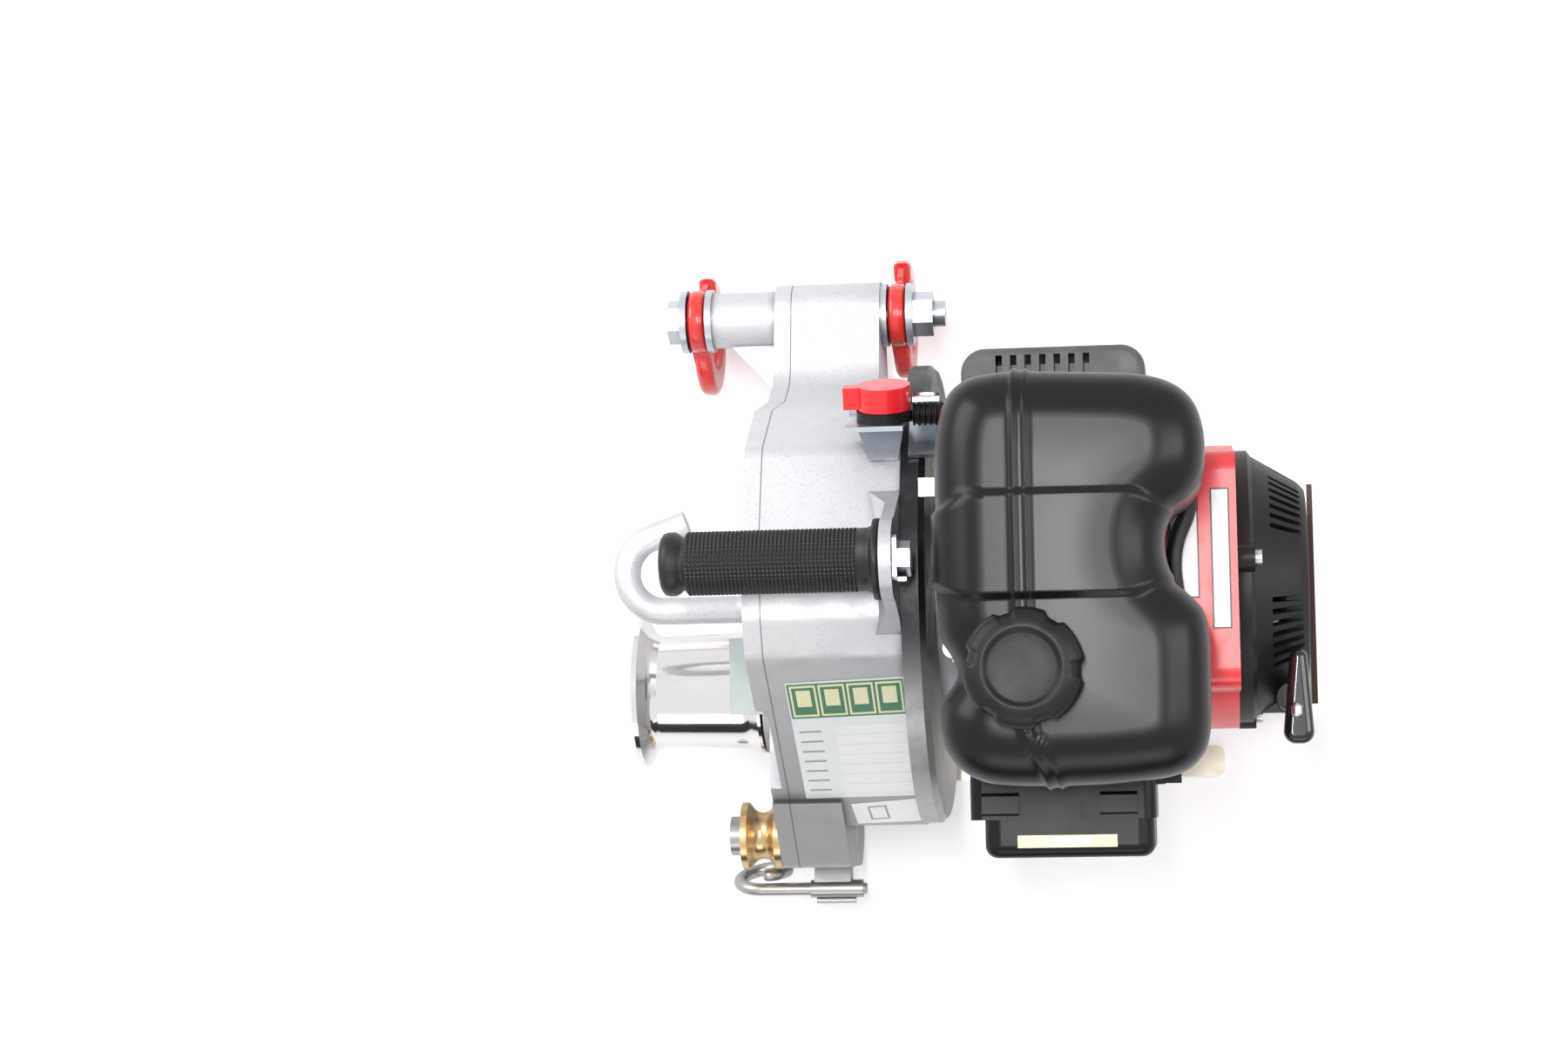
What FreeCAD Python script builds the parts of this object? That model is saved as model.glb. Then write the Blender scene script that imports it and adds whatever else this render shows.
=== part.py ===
import FreeCAD, Part
import math
import operator
import os
import Sketcher

# Portable capstan winch with a small engine. Millimetres, +Z up, floor at z = 0.
# X = 0 is the engine's mounting face, +X points to the starter, Y = 0 is the crank axis, +Y is the anchor side.

SIZES = {
    # Crank line and overall heights
    "crank_height": 120.0,
    "bell_radius": 119.0,
    "bell_thick": 12.0,
    "bell_edge": 3.0,
    # Gear housing and cover
    "parting_x": -81.0,
    "cover_thick": 9.0,
    "housing_wall": 7.0,
    "housing_rise": 117.0,
    "foot_half": 72.0,
    "clutch_wall": 7.0,
    "clutch_room_radius": 46.0,
    "clutch_room_depth": 15.0,
    "front_cut_y": -61.0,
    "front_cut_rise": 20.0,
    "front_cut_depth": 6.0,
    "drum_boss_radius": 34.0,
    "drum_boss_high": 7.0,
    # Rear arm and anchor
    "anchor_y": 154.0,
    "anchor_z": 75.0,
    "arm_end_radius": 18.0,
    "rear_arm_right_x": -33.5,
    "anchor_tube_radius": 15.0,
    "anchor_tube_length": 35.0,
    "anchor_bolt_radius": 7.0,
    "anchor_head_across": 21.0,
    "anchor_head_thick": 7.5,
    "anchor_nut_thick": 10.5,
    "anchor_thread_out": 6.5,
    "washer_radius": 17.0,
    "washer_thick": 3.5,
    "hook_thick": 9.5,
    "hook_eye_radius": 17.0,
    "hook_play": 0.4,
    "bush_radius": 10.0,
    "bush_gap": 0.06,
    "hook_bowl_radius": 25.5,
    "hook_bowl_width": 14.0,
    "hook_bowl_y": -3.0,
    "hook_bowl_z": -38.5,
    "hook_throat_start": 62.0,
    "latch_thick": 3.0,
    "hook_round": 3.6,
    "right_hook_swing": 9.0,
    # Front arm, roller and pigtail
    "front_arm_right_x": -54.0,
    "front_arm_end_y": -142.0,
    "roller_y": -125.0,
    "roller_z": 60.0,
    "roller_bolt_radius": 6.0,
    "roller_length": 21.5,
    "roller_rim_radius": 18.0,
    "roller_waist_radius": 12.5,
    "roller_rim_width": 3.5,
    "roller_head_radius": 10.5,
    "roller_head_thick": 6.0,
    "roller_washer_thick": 1.8,
    "roller_end_gap": 0.3,
    "pigtail_y": -154.5,
    "pigtail_z": 45.0,
    "pigtail_rod_radius": 3.5,
    "pigtail_ring_radius": 13.0,
    "pigtail_ring_x": -108.5,
    "sleeve_radius": 4.8,
    "sleeve_length": 28.5,
    "sleeve_gap": 0.06,
    "clip_radius": 1.5,
    # Rope exit hook
    "exit_hook_y": -8.0,
    "exit_hook_rise": 40.0,
    "exit_hook_radius": 7.0,
    "exit_hook_bend": 19.5,
    "exit_hook_out": 70.0,
    "exit_hook_slope": 20.0,
    "exit_hook_straight": 20.0,
    "exit_hook_flare": 13.0,
    # Capstan drum
    "drum_y": -47.0,
    "drum_drop": 35.0,
    "drum_inner_x": -98.5,
    "drum_outer_x": -166.5,
    "barrel_radius": 31.0,
    "barrel_taper": 1.5,
    "drum_rim_radius": 40.0,
    "drum_rim_thick": 4.0,
    "drum_shaft_radius": 12.0,
    "drum_bearing_radius": 18.0,
    # Gear train
    "wheel_width": 10.0,
    "output_width": 15.0,
    "gear_gap": 2.0,
    "layshaft_radius": 6.0,
    "shaft_gap": 0.05,
    "bearing_ring": 3.5,
    "bearing_depth": 5.0,
    "seal_thick": 4.0,
    "seal_gap": 0.1,
    "screw_head_radius": 5.0,
    "screw_head_thick": 5.0,
    "first_stage_angle": 60.0,
    "module_first": 1.25,
    "module_second": 1.5,
    "module_third": 2.0,
    # Clutch
    "clutch_drum_radius": 40.0,
    "clutch_drum_wall": 3.0,
    "clutch_drum_depth": 22.0,
    "clutch_shoe_gap": 1.0,
    "crank_stub_radius": 8.0,
    # Handle
    "grip_y": 8.6,
    "grip_rise": 28.0,
    "grip_left_x": -125.0,
    "grip_radius": 15.3,
    "grip_neck_radius": 12.8,
    "grip_flange_radius": 19.5,
    "grip_flange_thick": 3.6,
    "core_radius": 8.5,
    "lug_radius": 20.0,
    "lug_thick": 6.0,
    "lug_base_drop": 23.0,
    "lug_base_x": -36.0,
    "lug_gap": 0.8,
    "handle_bolt_radius": 5.0,
    "handle_bolt_across": 15.0,
    "handle_bolt_head": 6.0,
    "lock_washer_thick": 2.0,
    "lock_washer_side": 22.0,
    # Rope guard
    "guard_rise": 35.0,
    "guard_thick": 2.5,
    "guard_reach_x": -113.0,
    "guard_width": 40.0,
    "guard_leg": 26.0,
    # Engine
    "block_length": 116.0,
    "block_half_width": 58.0,
    "block_rise": 55.0,
    "sump_top": 62.0,
    "crankcase_radius": 44.0,
    "crankcase_wall": 10.0,
    "journal_radius": 12.5,
    "crank_web_radius": 38.0,
    "crank_web_thick": 10.0,
    "crank_throw": 19.0,
    "crank_pin_radius": 10.0,
    "cylinder_x": 62.0,
    "cylinder_radius": 30.0,
    "fin_side": 84.0,
    "fin_thick": 3.0,
    "fin_pitch": 7.0,
    "cylinder_height": 53.0,
    "rocker_height": 15.0,
    # Fuel tank
    "tank_left_x": 11.8,
    "tank_right_x": 136.4,
    "tank_front_y": -101.0,
    "tank_rear_y": 90.0,
    "tank_lift": 7.0,
    "tank_height": 87.5,
    "tank_wall": 4.0,
    "tank_post_radius": 5.0,
    "tank_top_round": 22.0,
    "tank_low_round": 8.0,
    "tank_corner": 26.0,
    "tank_waist_depth": 21.4,
    "tank_waist_y": 8.3,
    "tank_waist_half": 12.0,
    "tank_shoulder_run": 18.6,
    "tank_notch_y": -49.0,
    "tank_notch_half": 17.0,
    "tank_notch_depth": 9.0,
    "tank_band_front_y": -15.4,
    "tank_band_rear_y": 33.5,
    "tank_band_raise": 2.2,
    "tank_band_inset": 4.0,
    "tank_band_round": 14.0,
    "tank_seam_x": 52.6,
    "tank_seam_half": 4.0,
    "tank_seam_raise": 1.0,
    "cap_x": 53.0,
    "cap_y": -48.0,
    "cap_radius": 27.5,
    "cap_height": 17.0,
    "cap_lift": 8.5,
    "cap_clearance": 0.3,
    "cap_notch_radius": 5.0,
    "cap_inner_radius": 16.0,
    "cap_disc_depth": 2.0,
    "neck_radius": 20.0,
    "neck_height": 14.0,
    "neck_wall": 3.0,
    # Muffler and air cleaner
    "side_left_x": 19.0,
    "side_right_x": 109.0,
    "side_rise": 30.0,
    "side_height": 80.0,
    "guard_rear_y": 113.5,
    "guard_front_y": 66.0,
    "guard_corner": 12.0,
    "guard_edge": 4.0,
    "guard_slot_start": 17.3,
    "guard_slot_pitch": 7.1,
    "guard_slot_width": 3.2,
    "guard_stand": 6.0,
    "sheet_thick": 2.0,
    "air_base_rear_y": -82.0,
    "air_base_front_y": -117.0,
    "air_cover_front_y": -135.5,
    "cover_inset_left": 7.0,
    "cover_inset_right": 1.0,
    "cover_hinge_radius": 1.7,
    "plastic_wall": 2.5,
    # Fan shroud and starter
    "shroud_depth": 35.0,
    "shroud_radius": 73.0,
    "shroud_rise": 116.0,
    "starter_flange_thick": 9.0,
    "starter_flange_radius": 70.0,
    "starter_bolt_angle": 82.0,
    "cone_base_radius": 65.0,
    "cone_face_radius": 49.0,
    "starter_depth": 36.0,
    "slot_width": 2.8,
    "slot_step": 5.6,
    "pulley_radius": 32.0,
    "pulley_thick": 10.0,
    "fan_radius": 62.0,
    "fan_disc_thick": 5.0,
    "blade_height": 14.0,
    "pull_inset": 7.5,
    "pull_y": -58.5,
    "pull_rise": 52.0,
    "pull_length": 47.0,
    "pull_width": 16.0,
    "pull_height": 14.0,
    # Stop switch
    "switch_x": -18.7,
    "switch_y": 80.5,
    "switch_drop": 11.0,
    "switch_foot_y": 60.0,
    "switch_tilt": 20.0,
    "switch_body_radius": 14.0,
    "switch_body_length": 5.0,
    "knob_radius": 13.0,
    "knob_thick": 12.0,
    "knob_wing_out": 7.0,
    "knob_wing_wide": 8.0,
    "bracket_thick": 2.5,
    "knob_gap": 0.3,
    "knob_stem_radius": 4.0,
    "conduit_radius": 6.0,
    # Levers and hose
    "throttle_x": 24.0,
    "throttle_y": 45.0,
    "throttle_rise": 9.0,
    "lever_thick": 2.0,
    "choke_pivot_radius": 5.0,
    "hose_radius": 4.0,
    # Base plate
    "plate_thick": 3.0,
    "plate_half_width": 97.0,
    "plate_right_x": 128.0,
    "foot_right_x": 144.0,
    "foot_width": 17.0,
    "tongue_right_x": 191.0,
    "tongue_half_width": 61.0,
    "plate_end_high": 40.0,
    "plate_start_x": -12.0,
    "plate_hole_radius": 4.5,
    "strip_thick": 3.0,
}

TEETH = {
    "first_pinion": 13, "first_wheel": 60,
    "second_pinion": 13, "second_wheel": 60,
    "output_pinion": 12, "output": 62,
}

doc = FreeCAD.newDocument("pulling_winch")
sheet = doc.addObject("Spreadsheet::Sheet", "sizes")
for row, (alias, number) in enumerate(SIZES.items(), 1):
    sheet.set(f"A{row}", alias)
    sheet.set(f"B{row}", str(number))
    sheet.setAlias(f"B{row}", alias)
doc.recompute()


# A size is a number with the expression over the sheet's cells that gives it.
class Size:
    def __init__(self, value, text):
        self.value = value
        self.text = text

    def __add__(self, other):
        return combined(self, "+", other)

    def __radd__(self, other):
        return combined(other, "+", self)

    def __sub__(self, other):
        return combined(self, "-", other)

    def __rsub__(self, other):
        return combined(other, "-", self)

    def __mul__(self, other):
        return combined(self, "*", other)

    def __rmul__(self, other):
        return combined(other, "*", self)

    def __truediv__(self, other):
        return combined(self, "/", other)

    def __neg__(self):
        return combined(-1, "*", self)

    def __float__(self):
        return self.value


OPERATORS = {"+": operator.add, "-": operator.sub, "*": operator.mul, "/": operator.truediv}


def held(item):
    return item if isinstance(item, Size) else Size(float(item), f"({float(item):.6f})")


def combined(left, sign, right):
    left = held(left)
    right = held(right)
    return Size(OPERATORS[sign](left.value, right.value), f"({left.text} {sign} {right.text})")


class Cells:
    def __getattr__(self, alias):
        return Size(float(sheet.get(alias)), f"sizes.{alias}")


g = Cells()


def bind(item, path, size):
    item.setExpression(path, held(size).text)


def place(item, x=0, y=0, z=0):
    bind(item, "Placement.Base.x", x)
    bind(item, "Placement.Base.y", y)
    bind(item, "Placement.Base.z", z)


# Sketches: every corner is held by its two coordinates, and a round corner also by its radius.
def new_body(label):
    body = doc.addObject("PartDesign::Body", label)
    body.Label = label
    return body


def new_sketch(body, role, offset=0):
    sketch = body.newObject("Sketcher::SketchObject", "sketch")
    plane = next(item for item in body.Origin.OriginFeatures if item.Role == role)
    sketch.AttachmentSupport = (plane, "")
    sketch.MapMode = "FlatFace"
    bind(sketch, "AttachmentOffset.Base.z", offset)
    return sketch


def hold_point(sketch, rows, geometry, end, x, y):
    rows.append((Sketcher.Constraint("DistanceX", -1, 1, geometry, end, float(x)), x))
    rows.append((Sketcher.Constraint("DistanceY", -1, 1, geometry, end, float(y)), y))


def apply_rows(sketch, rows):
    for constraint, size in rows:
        index = sketch.addConstraint(constraint)
        if size is not None:
            bind(sketch, f"Constraints[{index}]", size)


def add_outline(sketch, corners):
    count = len(corners)
    points = [FreeCAD.Vector(float(c[0]), float(c[1]), 0) for c in corners]
    entries = []
    exits = []
    arcs = {}
    for i, corner in enumerate(corners):
        point = points[i]
        came = (point - points[i - 1]).normalize()
        goes = (points[(i + 1) % count] - point).normalize()
        if len(corner) < 3:
            entries.append(point)
            exits.append(point)
            continue
        radius = float(corner[2])
        turn = math.atan2(came.cross(goes).z, came.dot(goes))
        reach = radius * math.tan(abs(turn) / 2)
        side = FreeCAD.Vector(-came.y, came.x, 0) * math.copysign(1, turn)
        start = point - came * reach
        end = point + goes * reach
        middle = start + side * radius
        first, last = (start, end) if turn > 0 else (end, start)
        angles = [math.atan2(p.y - middle.y, p.x - middle.x) for p in (first, last)]
        circle = Part.Circle(middle, FreeCAD.Vector(0, 0, 1), radius)
        arcs[i] = (Part.ArcOfCircle(circle, angles[0], angles[1]), turn > 0)
        entries.append(start)
        exits.append(end)
    lines = [sketch.addGeometry(Part.LineSegment(exits[i], entries[(i + 1) % count])) for i in range(count)]
    rows = []
    for i, corner in enumerate(corners):
        x, y = corner[0], corner[1]
        if i not in arcs:
            rows.append((Sketcher.Constraint("Coincident", lines[i - 1], 2, lines[i], 1), None))
            hold_point(sketch, rows, lines[i], 1, x, y)
            continue
        arc, left_turn = arcs[i]
        geometry = sketch.addGeometry(arc)
        mark = sketch.addGeometry(Part.Point(points[i]), True)
        near, far = (1, 2) if left_turn else (2, 1)
        rows.append((Sketcher.Constraint("Tangent", lines[i - 1], 2, geometry, near), None))
        rows.append((Sketcher.Constraint("Tangent", geometry, far, lines[i], 1), None))
        rows.append((Sketcher.Constraint("PointOnObject", mark, 1, lines[i - 1]), None))
        rows.append((Sketcher.Constraint("PointOnObject", mark, 1, lines[i]), None))
        rows.append((Sketcher.Constraint("Radius", geometry, float(corner[2])), corner[2]))
        hold_point(sketch, rows, mark, 1, x, y)
    apply_rows(sketch, rows)


def add_circle(sketch, x, y, radius):
    centre = FreeCAD.Vector(float(x), float(y), 0)
    geometry = sketch.addGeometry(Part.Circle(centre, FreeCAD.Vector(0, 0, 1), float(radius)))
    rows = [(Sketcher.Constraint("Radius", geometry, float(radius)), radius)]
    hold_point(sketch, rows, geometry, 3, x, y)
    apply_rows(sketch, rows)


def box_corners(x0, y0, x1, y1, radius=None):
    corners = [(x0, y0), (x1, y0), (x1, y1), (x0, y1)]
    return [c + (radius,) for c in corners] if radius is not None else corners


# Features
def pad(body, sketch, length, reverse=False):
    sketch.Visibility = False
    feature = body.newObject("PartDesign::Pad", "pad")
    feature.Profile = sketch
    feature.Reversed = reverse
    bind(feature, "Length", length)
    return feature


POCKETS = []


def pocket(body, sketch, length, forward=True):
    base = body.Tip
    feature = body.newObject("PartDesign::Pocket", "pocket")
    feature.Profile = sketch
    feature.Reversed = forward
    bind(feature, "Length", length)
    POCKETS.append((feature, base))
    return feature


def revolve(body, sketch, axis):
    feature = body.newObject("PartDesign::Revolution", "revolution")
    feature.Profile = sketch
    feature.ReferenceAxis = (sketch, [axis])
    feature.Angle = 360
    return feature


def edges_of(shape, test):
    return [f"Edge{i}" for i, edge in enumerate(shape.Edges, 1) if test(edge)]


def round_edges(body, radius, test, kind="Fillet"):
    doc.recompute()
    base = body.Tip
    names = edges_of(base.Shape, test)
    if not names:
        raise ValueError(f"no edge to finish on {body.Label}")
    feature = body.newObject(f"PartDesign::{kind}", kind.lower())
    feature.Base = (base, names)
    bind(feature, "Radius" if kind == "Fillet" else "Size", radius)
    return feature


def on_plane(edge, axis, value, tolerance=0.01):
    return all(abs(getattr(v.Point, axis) - float(value)) < tolerance for v in edge.Vertexes)


TURNING = {"X": ("XZ_Plane", "H_Axis"), "Y": ("XY_Plane", "V_Axis"), "Z": ("XZ_Plane", "V_Axis")}


def turned(label, axis, profile, x=0, y=0, z=0):
    """A turned piece. The profile is (along the axis, radius), with an optional corner radius."""
    role, reference = TURNING[axis]
    body = new_body(label)
    sketch = new_sketch(body, role)
    corners = profile if axis == "X" else [(c[1], c[0]) + tuple(c[2:]) for c in profile]
    add_outline(sketch, corners)
    revolve(body, sketch, reference)
    place(body, x, y, z)
    return body


def extruded(label, role, offset, corners, length, holes=()):
    body = new_body(label)
    sketch = new_sketch(body, role, offset)
    add_outline(sketch, corners)
    for x, y, radius in holes:
        add_circle(sketch, x, y, radius)
    pad(body, sketch, length)
    return body


def pad_outline(body, role, offset, corners, length):
    sketch = new_sketch(body, role, offset)
    add_outline(sketch, corners)
    return pad(body, sketch, length)


def pad_circle(body, role, offset, x, y, radius, length):
    sketch = new_sketch(body, role, offset)
    add_circle(sketch, x, y, radius)
    return pad(body, sketch, length)


def cut_outline(body, role, offset, corners, length):
    sketch = new_sketch(body, role, offset)
    add_outline(sketch, corners)
    return pocket(body, sketch, length)


def cut_circle(body, role, offset, x, y, radius, length):
    sketch = new_sketch(body, role, offset)
    add_circle(sketch, x, y, radius)
    return pocket(body, sketch, length)


def shaped(label, shape):
    feature = doc.addObject("Part::Feature", label)
    feature.Label = label
    feature.Shape = shape
    return feature


def vec(x, y, z):
    return FreeCAD.Vector(float(x), float(y), float(z))


X_WAY = FreeCAD.Vector(1, 0, 0)
Y_WAY = FreeCAD.Vector(0, 1, 0)
Z_WAY = FreeCAD.Vector(0, 0, 1)


def rod(start, way, radius, length):
    return Part.makeCylinder(float(radius), float(length), start, way)


def ring(start, way, outer, inner, length):
    return rod(start, way, outer, length).cut(rod(start, way, inner, length))


def hex_prism(start, across, length):
    """A hexagonal head along X."""
    tip = float(across) / math.sqrt(3)
    corners = [start + vec(0, tip * math.cos(math.radians(60 * i)), tip * math.sin(math.radians(60 * i)))
               for i in range(7)]
    return Part.Face(Part.makePolygon(corners)).extrude(X_WAY * float(length))


# Heights and lengthwise places that follow what carries them
HOUSING_TOP = g.crank_height + g.housing_rise
FRONT_CUT_Z = g.crank_height + g.front_cut_rise
EXIT_HOOK_Z = g.crank_height + g.exit_hook_rise
DRUM_Z = g.crank_height - g.drum_drop
ROPE_GUARD_Z = DRUM_Z + g.guard_rise
GRIP_Z = HOUSING_TOP + g.grip_rise
LUG_BASE_Z = HOUSING_TOP - g.lug_base_drop
SWITCH_Z = HOUSING_TOP - g.switch_drop
BLOCK_TOP = g.crank_height + g.block_rise
CYLINDER_TOP = BLOCK_TOP + g.cylinder_height
THROTTLE_Z = CYLINDER_TOP + g.throttle_rise
TANK_BOTTOM = CYLINDER_TOP + g.rocker_height + g.tank_lift
TANK_TOP = TANK_BOTTOM + g.tank_height
SIDE_BOTTOM = g.crank_height + g.side_rise
SIDE_TOP = SIDE_BOTTOM + g.side_height
SHROUD_TOP = g.crank_height + g.shroud_rise
SHROUD_RIGHT = g.block_length + g.shroud_depth
STARTER_FACE = SHROUD_RIGHT + g.starter_depth
PULL_X = STARTER_FACE - g.pull_inset
PULL_Z = g.crank_height + g.pull_rise

# Gear train places
HOUSING_RIGHT = -g.bell_thick
WALL_LEFT = HOUSING_RIGHT - g.clutch_room_depth - g.clutch_wall
PINION_X = WALL_LEFT - g.gear_gap - g.wheel_width
SECOND_X = PINION_X - g.gear_gap * 1.5 - g.wheel_width
OUTPUT_X = SECOND_X - g.gear_gap * 1.5 - g.output_width
COVER_LEFT = g.parting_x - g.cover_thick
BOSS_LEFT = COVER_LEFT - g.drum_boss_high


def centre_distance(module, first, second):
    return float(module) * (TEETH[first] + TEETH[second]) / 2


def first_shaft_place():
    reach = centre_distance(g.module_first, "first_pinion", "first_wheel")
    angle = math.radians(float(g.first_stage_angle))
    return reach * math.cos(angle), float(g.crank_height) + reach * math.sin(angle)


def second_shaft_place():
    """The place at the right distance from both the first shaft and the drum shaft, on the engine's rear side."""
    y1, z1 = first_shaft_place()
    y0, z0 = float(g.drum_y), float(DRUM_Z)
    from_drum = centre_distance(g.module_third, "output_pinion", "output")
    from_first = centre_distance(g.module_second, "second_pinion", "second_wheel")
    gap = math.hypot(y1 - y0, z1 - z0)
    along = (from_drum ** 2 - from_first ** 2 + gap ** 2) / (2 * gap)
    aside = math.sqrt(from_drum ** 2 - along ** 2)
    uy, uz = (y1 - y0) / gap, (z1 - z0) / gap
    return y0 + along * uy + aside * uz, z0 + along * uz - aside * uy


FIRST_Y, FIRST_Z = first_shaft_place()
SECOND_Y, SECOND_Z = second_shaft_place()


def gear_shape(teeth, module, width, bore, turn, x, y, z):
    """A spur gear along X from x, with a tooth centred on the angle turn (degrees, from +Y towards +Z)."""
    pitch_radius = module * teeth / 2
    tip = pitch_radius + 0.9 * module
    root = pitch_radius - 1.2 * module
    step = 2 * math.pi / teeth
    half_pitch = step / 4 - 0.12 / pitch_radius
    slope = math.tan(math.radians(20))
    half_tip = half_pitch - 0.9 * module * slope / pitch_radius
    half_root = half_pitch + 0.8 * module * slope / pitch_radius
    corners = []
    for i in range(teeth):
        middle = math.radians(turn) + i * step
        for radius, angle in ((root, middle - half_root), (tip, middle - half_tip),
                              (tip, middle + half_tip), (root, middle + half_root)):
            corners.append(vec(x, y + radius * math.cos(angle), z + radius * math.sin(angle)))
    corners.append(corners[0])
    blank = Part.Face(Part.makePolygon(corners)).extrude(X_WAY * float(width))
    if bore:
        blank = blank.cut(rod(vec(x, y, z), X_WAY, bore, width))
    return blank


def facing(y0, z0, y1, z1):
    return math.degrees(math.atan2(z1 - z0, y1 - y0))


def mesh_turn(driver_turn, driver_teeth, driven_teeth, towards):
    """The turn of a driven gear whose gap meets the driver's tooth on the line between the centres."""
    off = (driver_turn - towards) * driver_teeth / driven_teeth
    return towards + 180 - off + 180 / driven_teeth


def housing_outline(inset=0):
    """The main outline in Y and Z, or the cavity's when inset by a wall."""
    w = inset
    foot = g.foot_half
    top = HOUSING_TOP
    middle = g.crank_height
    return [
        (22 - w * 0.2, top - w, 20 - w), (-18 + w * 0.4, top - w, 12 - w * 0.5), (-36 + w * 0.5, top - 8 - w, 14 - w),
        (-120 + w, middle - 8 - w * 0.3, 14 - w), (-118 + w, middle - 75 + w * 0.4, 20 - w),
        (-foot + w * 0.5, w, 8), (foot - w * 0.5, w, 8),
        (100 - w, middle - 70 + w * 0.5, 20 - w), (104 - w, middle, 30 - w), (92 - w, middle + 58 - w * 0.4, 20 - w),
        (68 - w * 0.8, top - 18 - w * 0.8, 14 - w),
    ]


def rear_arm_outline():
    y, z, r = g.anchor_y, g.anchor_z, g.arm_end_radius
    return [(y, z + r), (y - 38, z + r + 8, 20), (y - 56, z + 60, 24), (y - 70, z + 105), (y - 84, z + 30),
            (y - 70, z - 40), (y - 40, z - 28, 20), (y, z - r)]


def front_arm_outline():
    end = g.front_arm_end_y
    middle = g.crank_height
    return [(end, middle - 26, 10), (end + 15, middle - 8, 14), (end + 34, middle + 14), (end + 50, middle - 30),
            (end + 44, middle - 100, 6), (end + 14, middle - 100, 10), (end, middle - 88, 8)]


# Gear housing
def gear_housing():
    body = new_body("gear_housing")
    left = g.parting_x
    pad_outline(body, "YZ_Plane", left, housing_outline(), HOUSING_RIGHT - left)
    pad_outline(body, "YZ_Plane", left, rear_arm_outline(), g.rear_arm_right_x - left)
    pad_circle(body, "YZ_Plane", left, g.anchor_y, g.anchor_z, g.arm_end_radius, g.rear_arm_right_x - left)
    pad_outline(body, "YZ_Plane", left, front_arm_outline(), g.front_arm_right_x - left)
    block_front = g.pigtail_y + g.sleeve_radius * 0.8
    pad_outline(body, "YZ_Plane", left + 3,
                box_corners(block_front, g.pigtail_z - g.sleeve_radius, g.front_arm_end_y + 10, g.pigtail_z + 10),
                g.sleeve_length - 9)
    lug_right = HOUSING_RIGHT
    lug_left = lug_right - g.lug_thick
    shoulder = GRIP_Z - g.grip_flange_radius - g.lug_gap
    low = new_sketch(body, "XY_Plane", LUG_BASE_Z)
    add_outline(low, box_corners(g.lug_base_x, g.grip_y - 48, lug_right, g.grip_y + 42))
    high = new_sketch(body, "XY_Plane", shoulder)
    add_outline(high, box_corners(lug_left, g.grip_y - g.lug_radius - 7, lug_right, g.grip_y + g.lug_radius + 9))
    loft = body.newObject("PartDesign::AdditiveLoft", "lug")
    loft.Profile = low
    loft.Sections = [high]
    pad_outline(body, "YZ_Plane", lug_left,
                [(g.grip_y - g.lug_radius - 7, shoulder), (g.grip_y + g.lug_radius + 9, shoulder),
                 (g.grip_y + g.lug_radius, GRIP_Z), (g.grip_y - g.lug_radius, GRIP_Z)], g.lug_thick)
    pad_circle(body, "YZ_Plane", lug_left, g.grip_y, GRIP_Z, g.lug_radius, g.lug_thick)
    cut_outline(body, "YZ_Plane", left, housing_outline(g.housing_wall), WALL_LEFT - left)
    cut_circle(body, "YZ_Plane", HOUSING_RIGHT - g.clutch_room_depth, 0, g.crank_height, g.clutch_room_radius,
               g.clutch_room_depth)
    cut_circle(body, "YZ_Plane", WALL_LEFT, 0, g.crank_height, g.layshaft_radius + g.bearing_ring, g.clutch_wall)
    for y, z, radius in shaft_seats():
        cut_circle(body, "YZ_Plane", WALL_LEFT, y, z, radius, g.bearing_depth)
    cut_circle(body, "YZ_Plane", left, g.anchor_y, g.anchor_z, g.anchor_bolt_radius, g.rear_arm_right_x - left)
    cut_circle(body, "YZ_Plane", left, g.roller_y, g.roller_z, g.roller_bolt_radius, g.front_arm_right_x - left)
    cut_circle(body, "YZ_Plane", lug_left, g.grip_y, GRIP_Z, g.handle_bolt_radius, g.lug_thick)
    cut_circle(body, "YZ_Plane", left, g.pigtail_y, g.pigtail_z, g.sleeve_radius, g.sleeve_length)


def shaft_seats():
    lay = g.layshaft_radius + g.bearing_ring
    return [(FIRST_Y, FIRST_Z, lay), (SECOND_Y, SECOND_Z, lay), (g.drum_y, DRUM_Z, g.drum_bearing_radius)]


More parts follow.
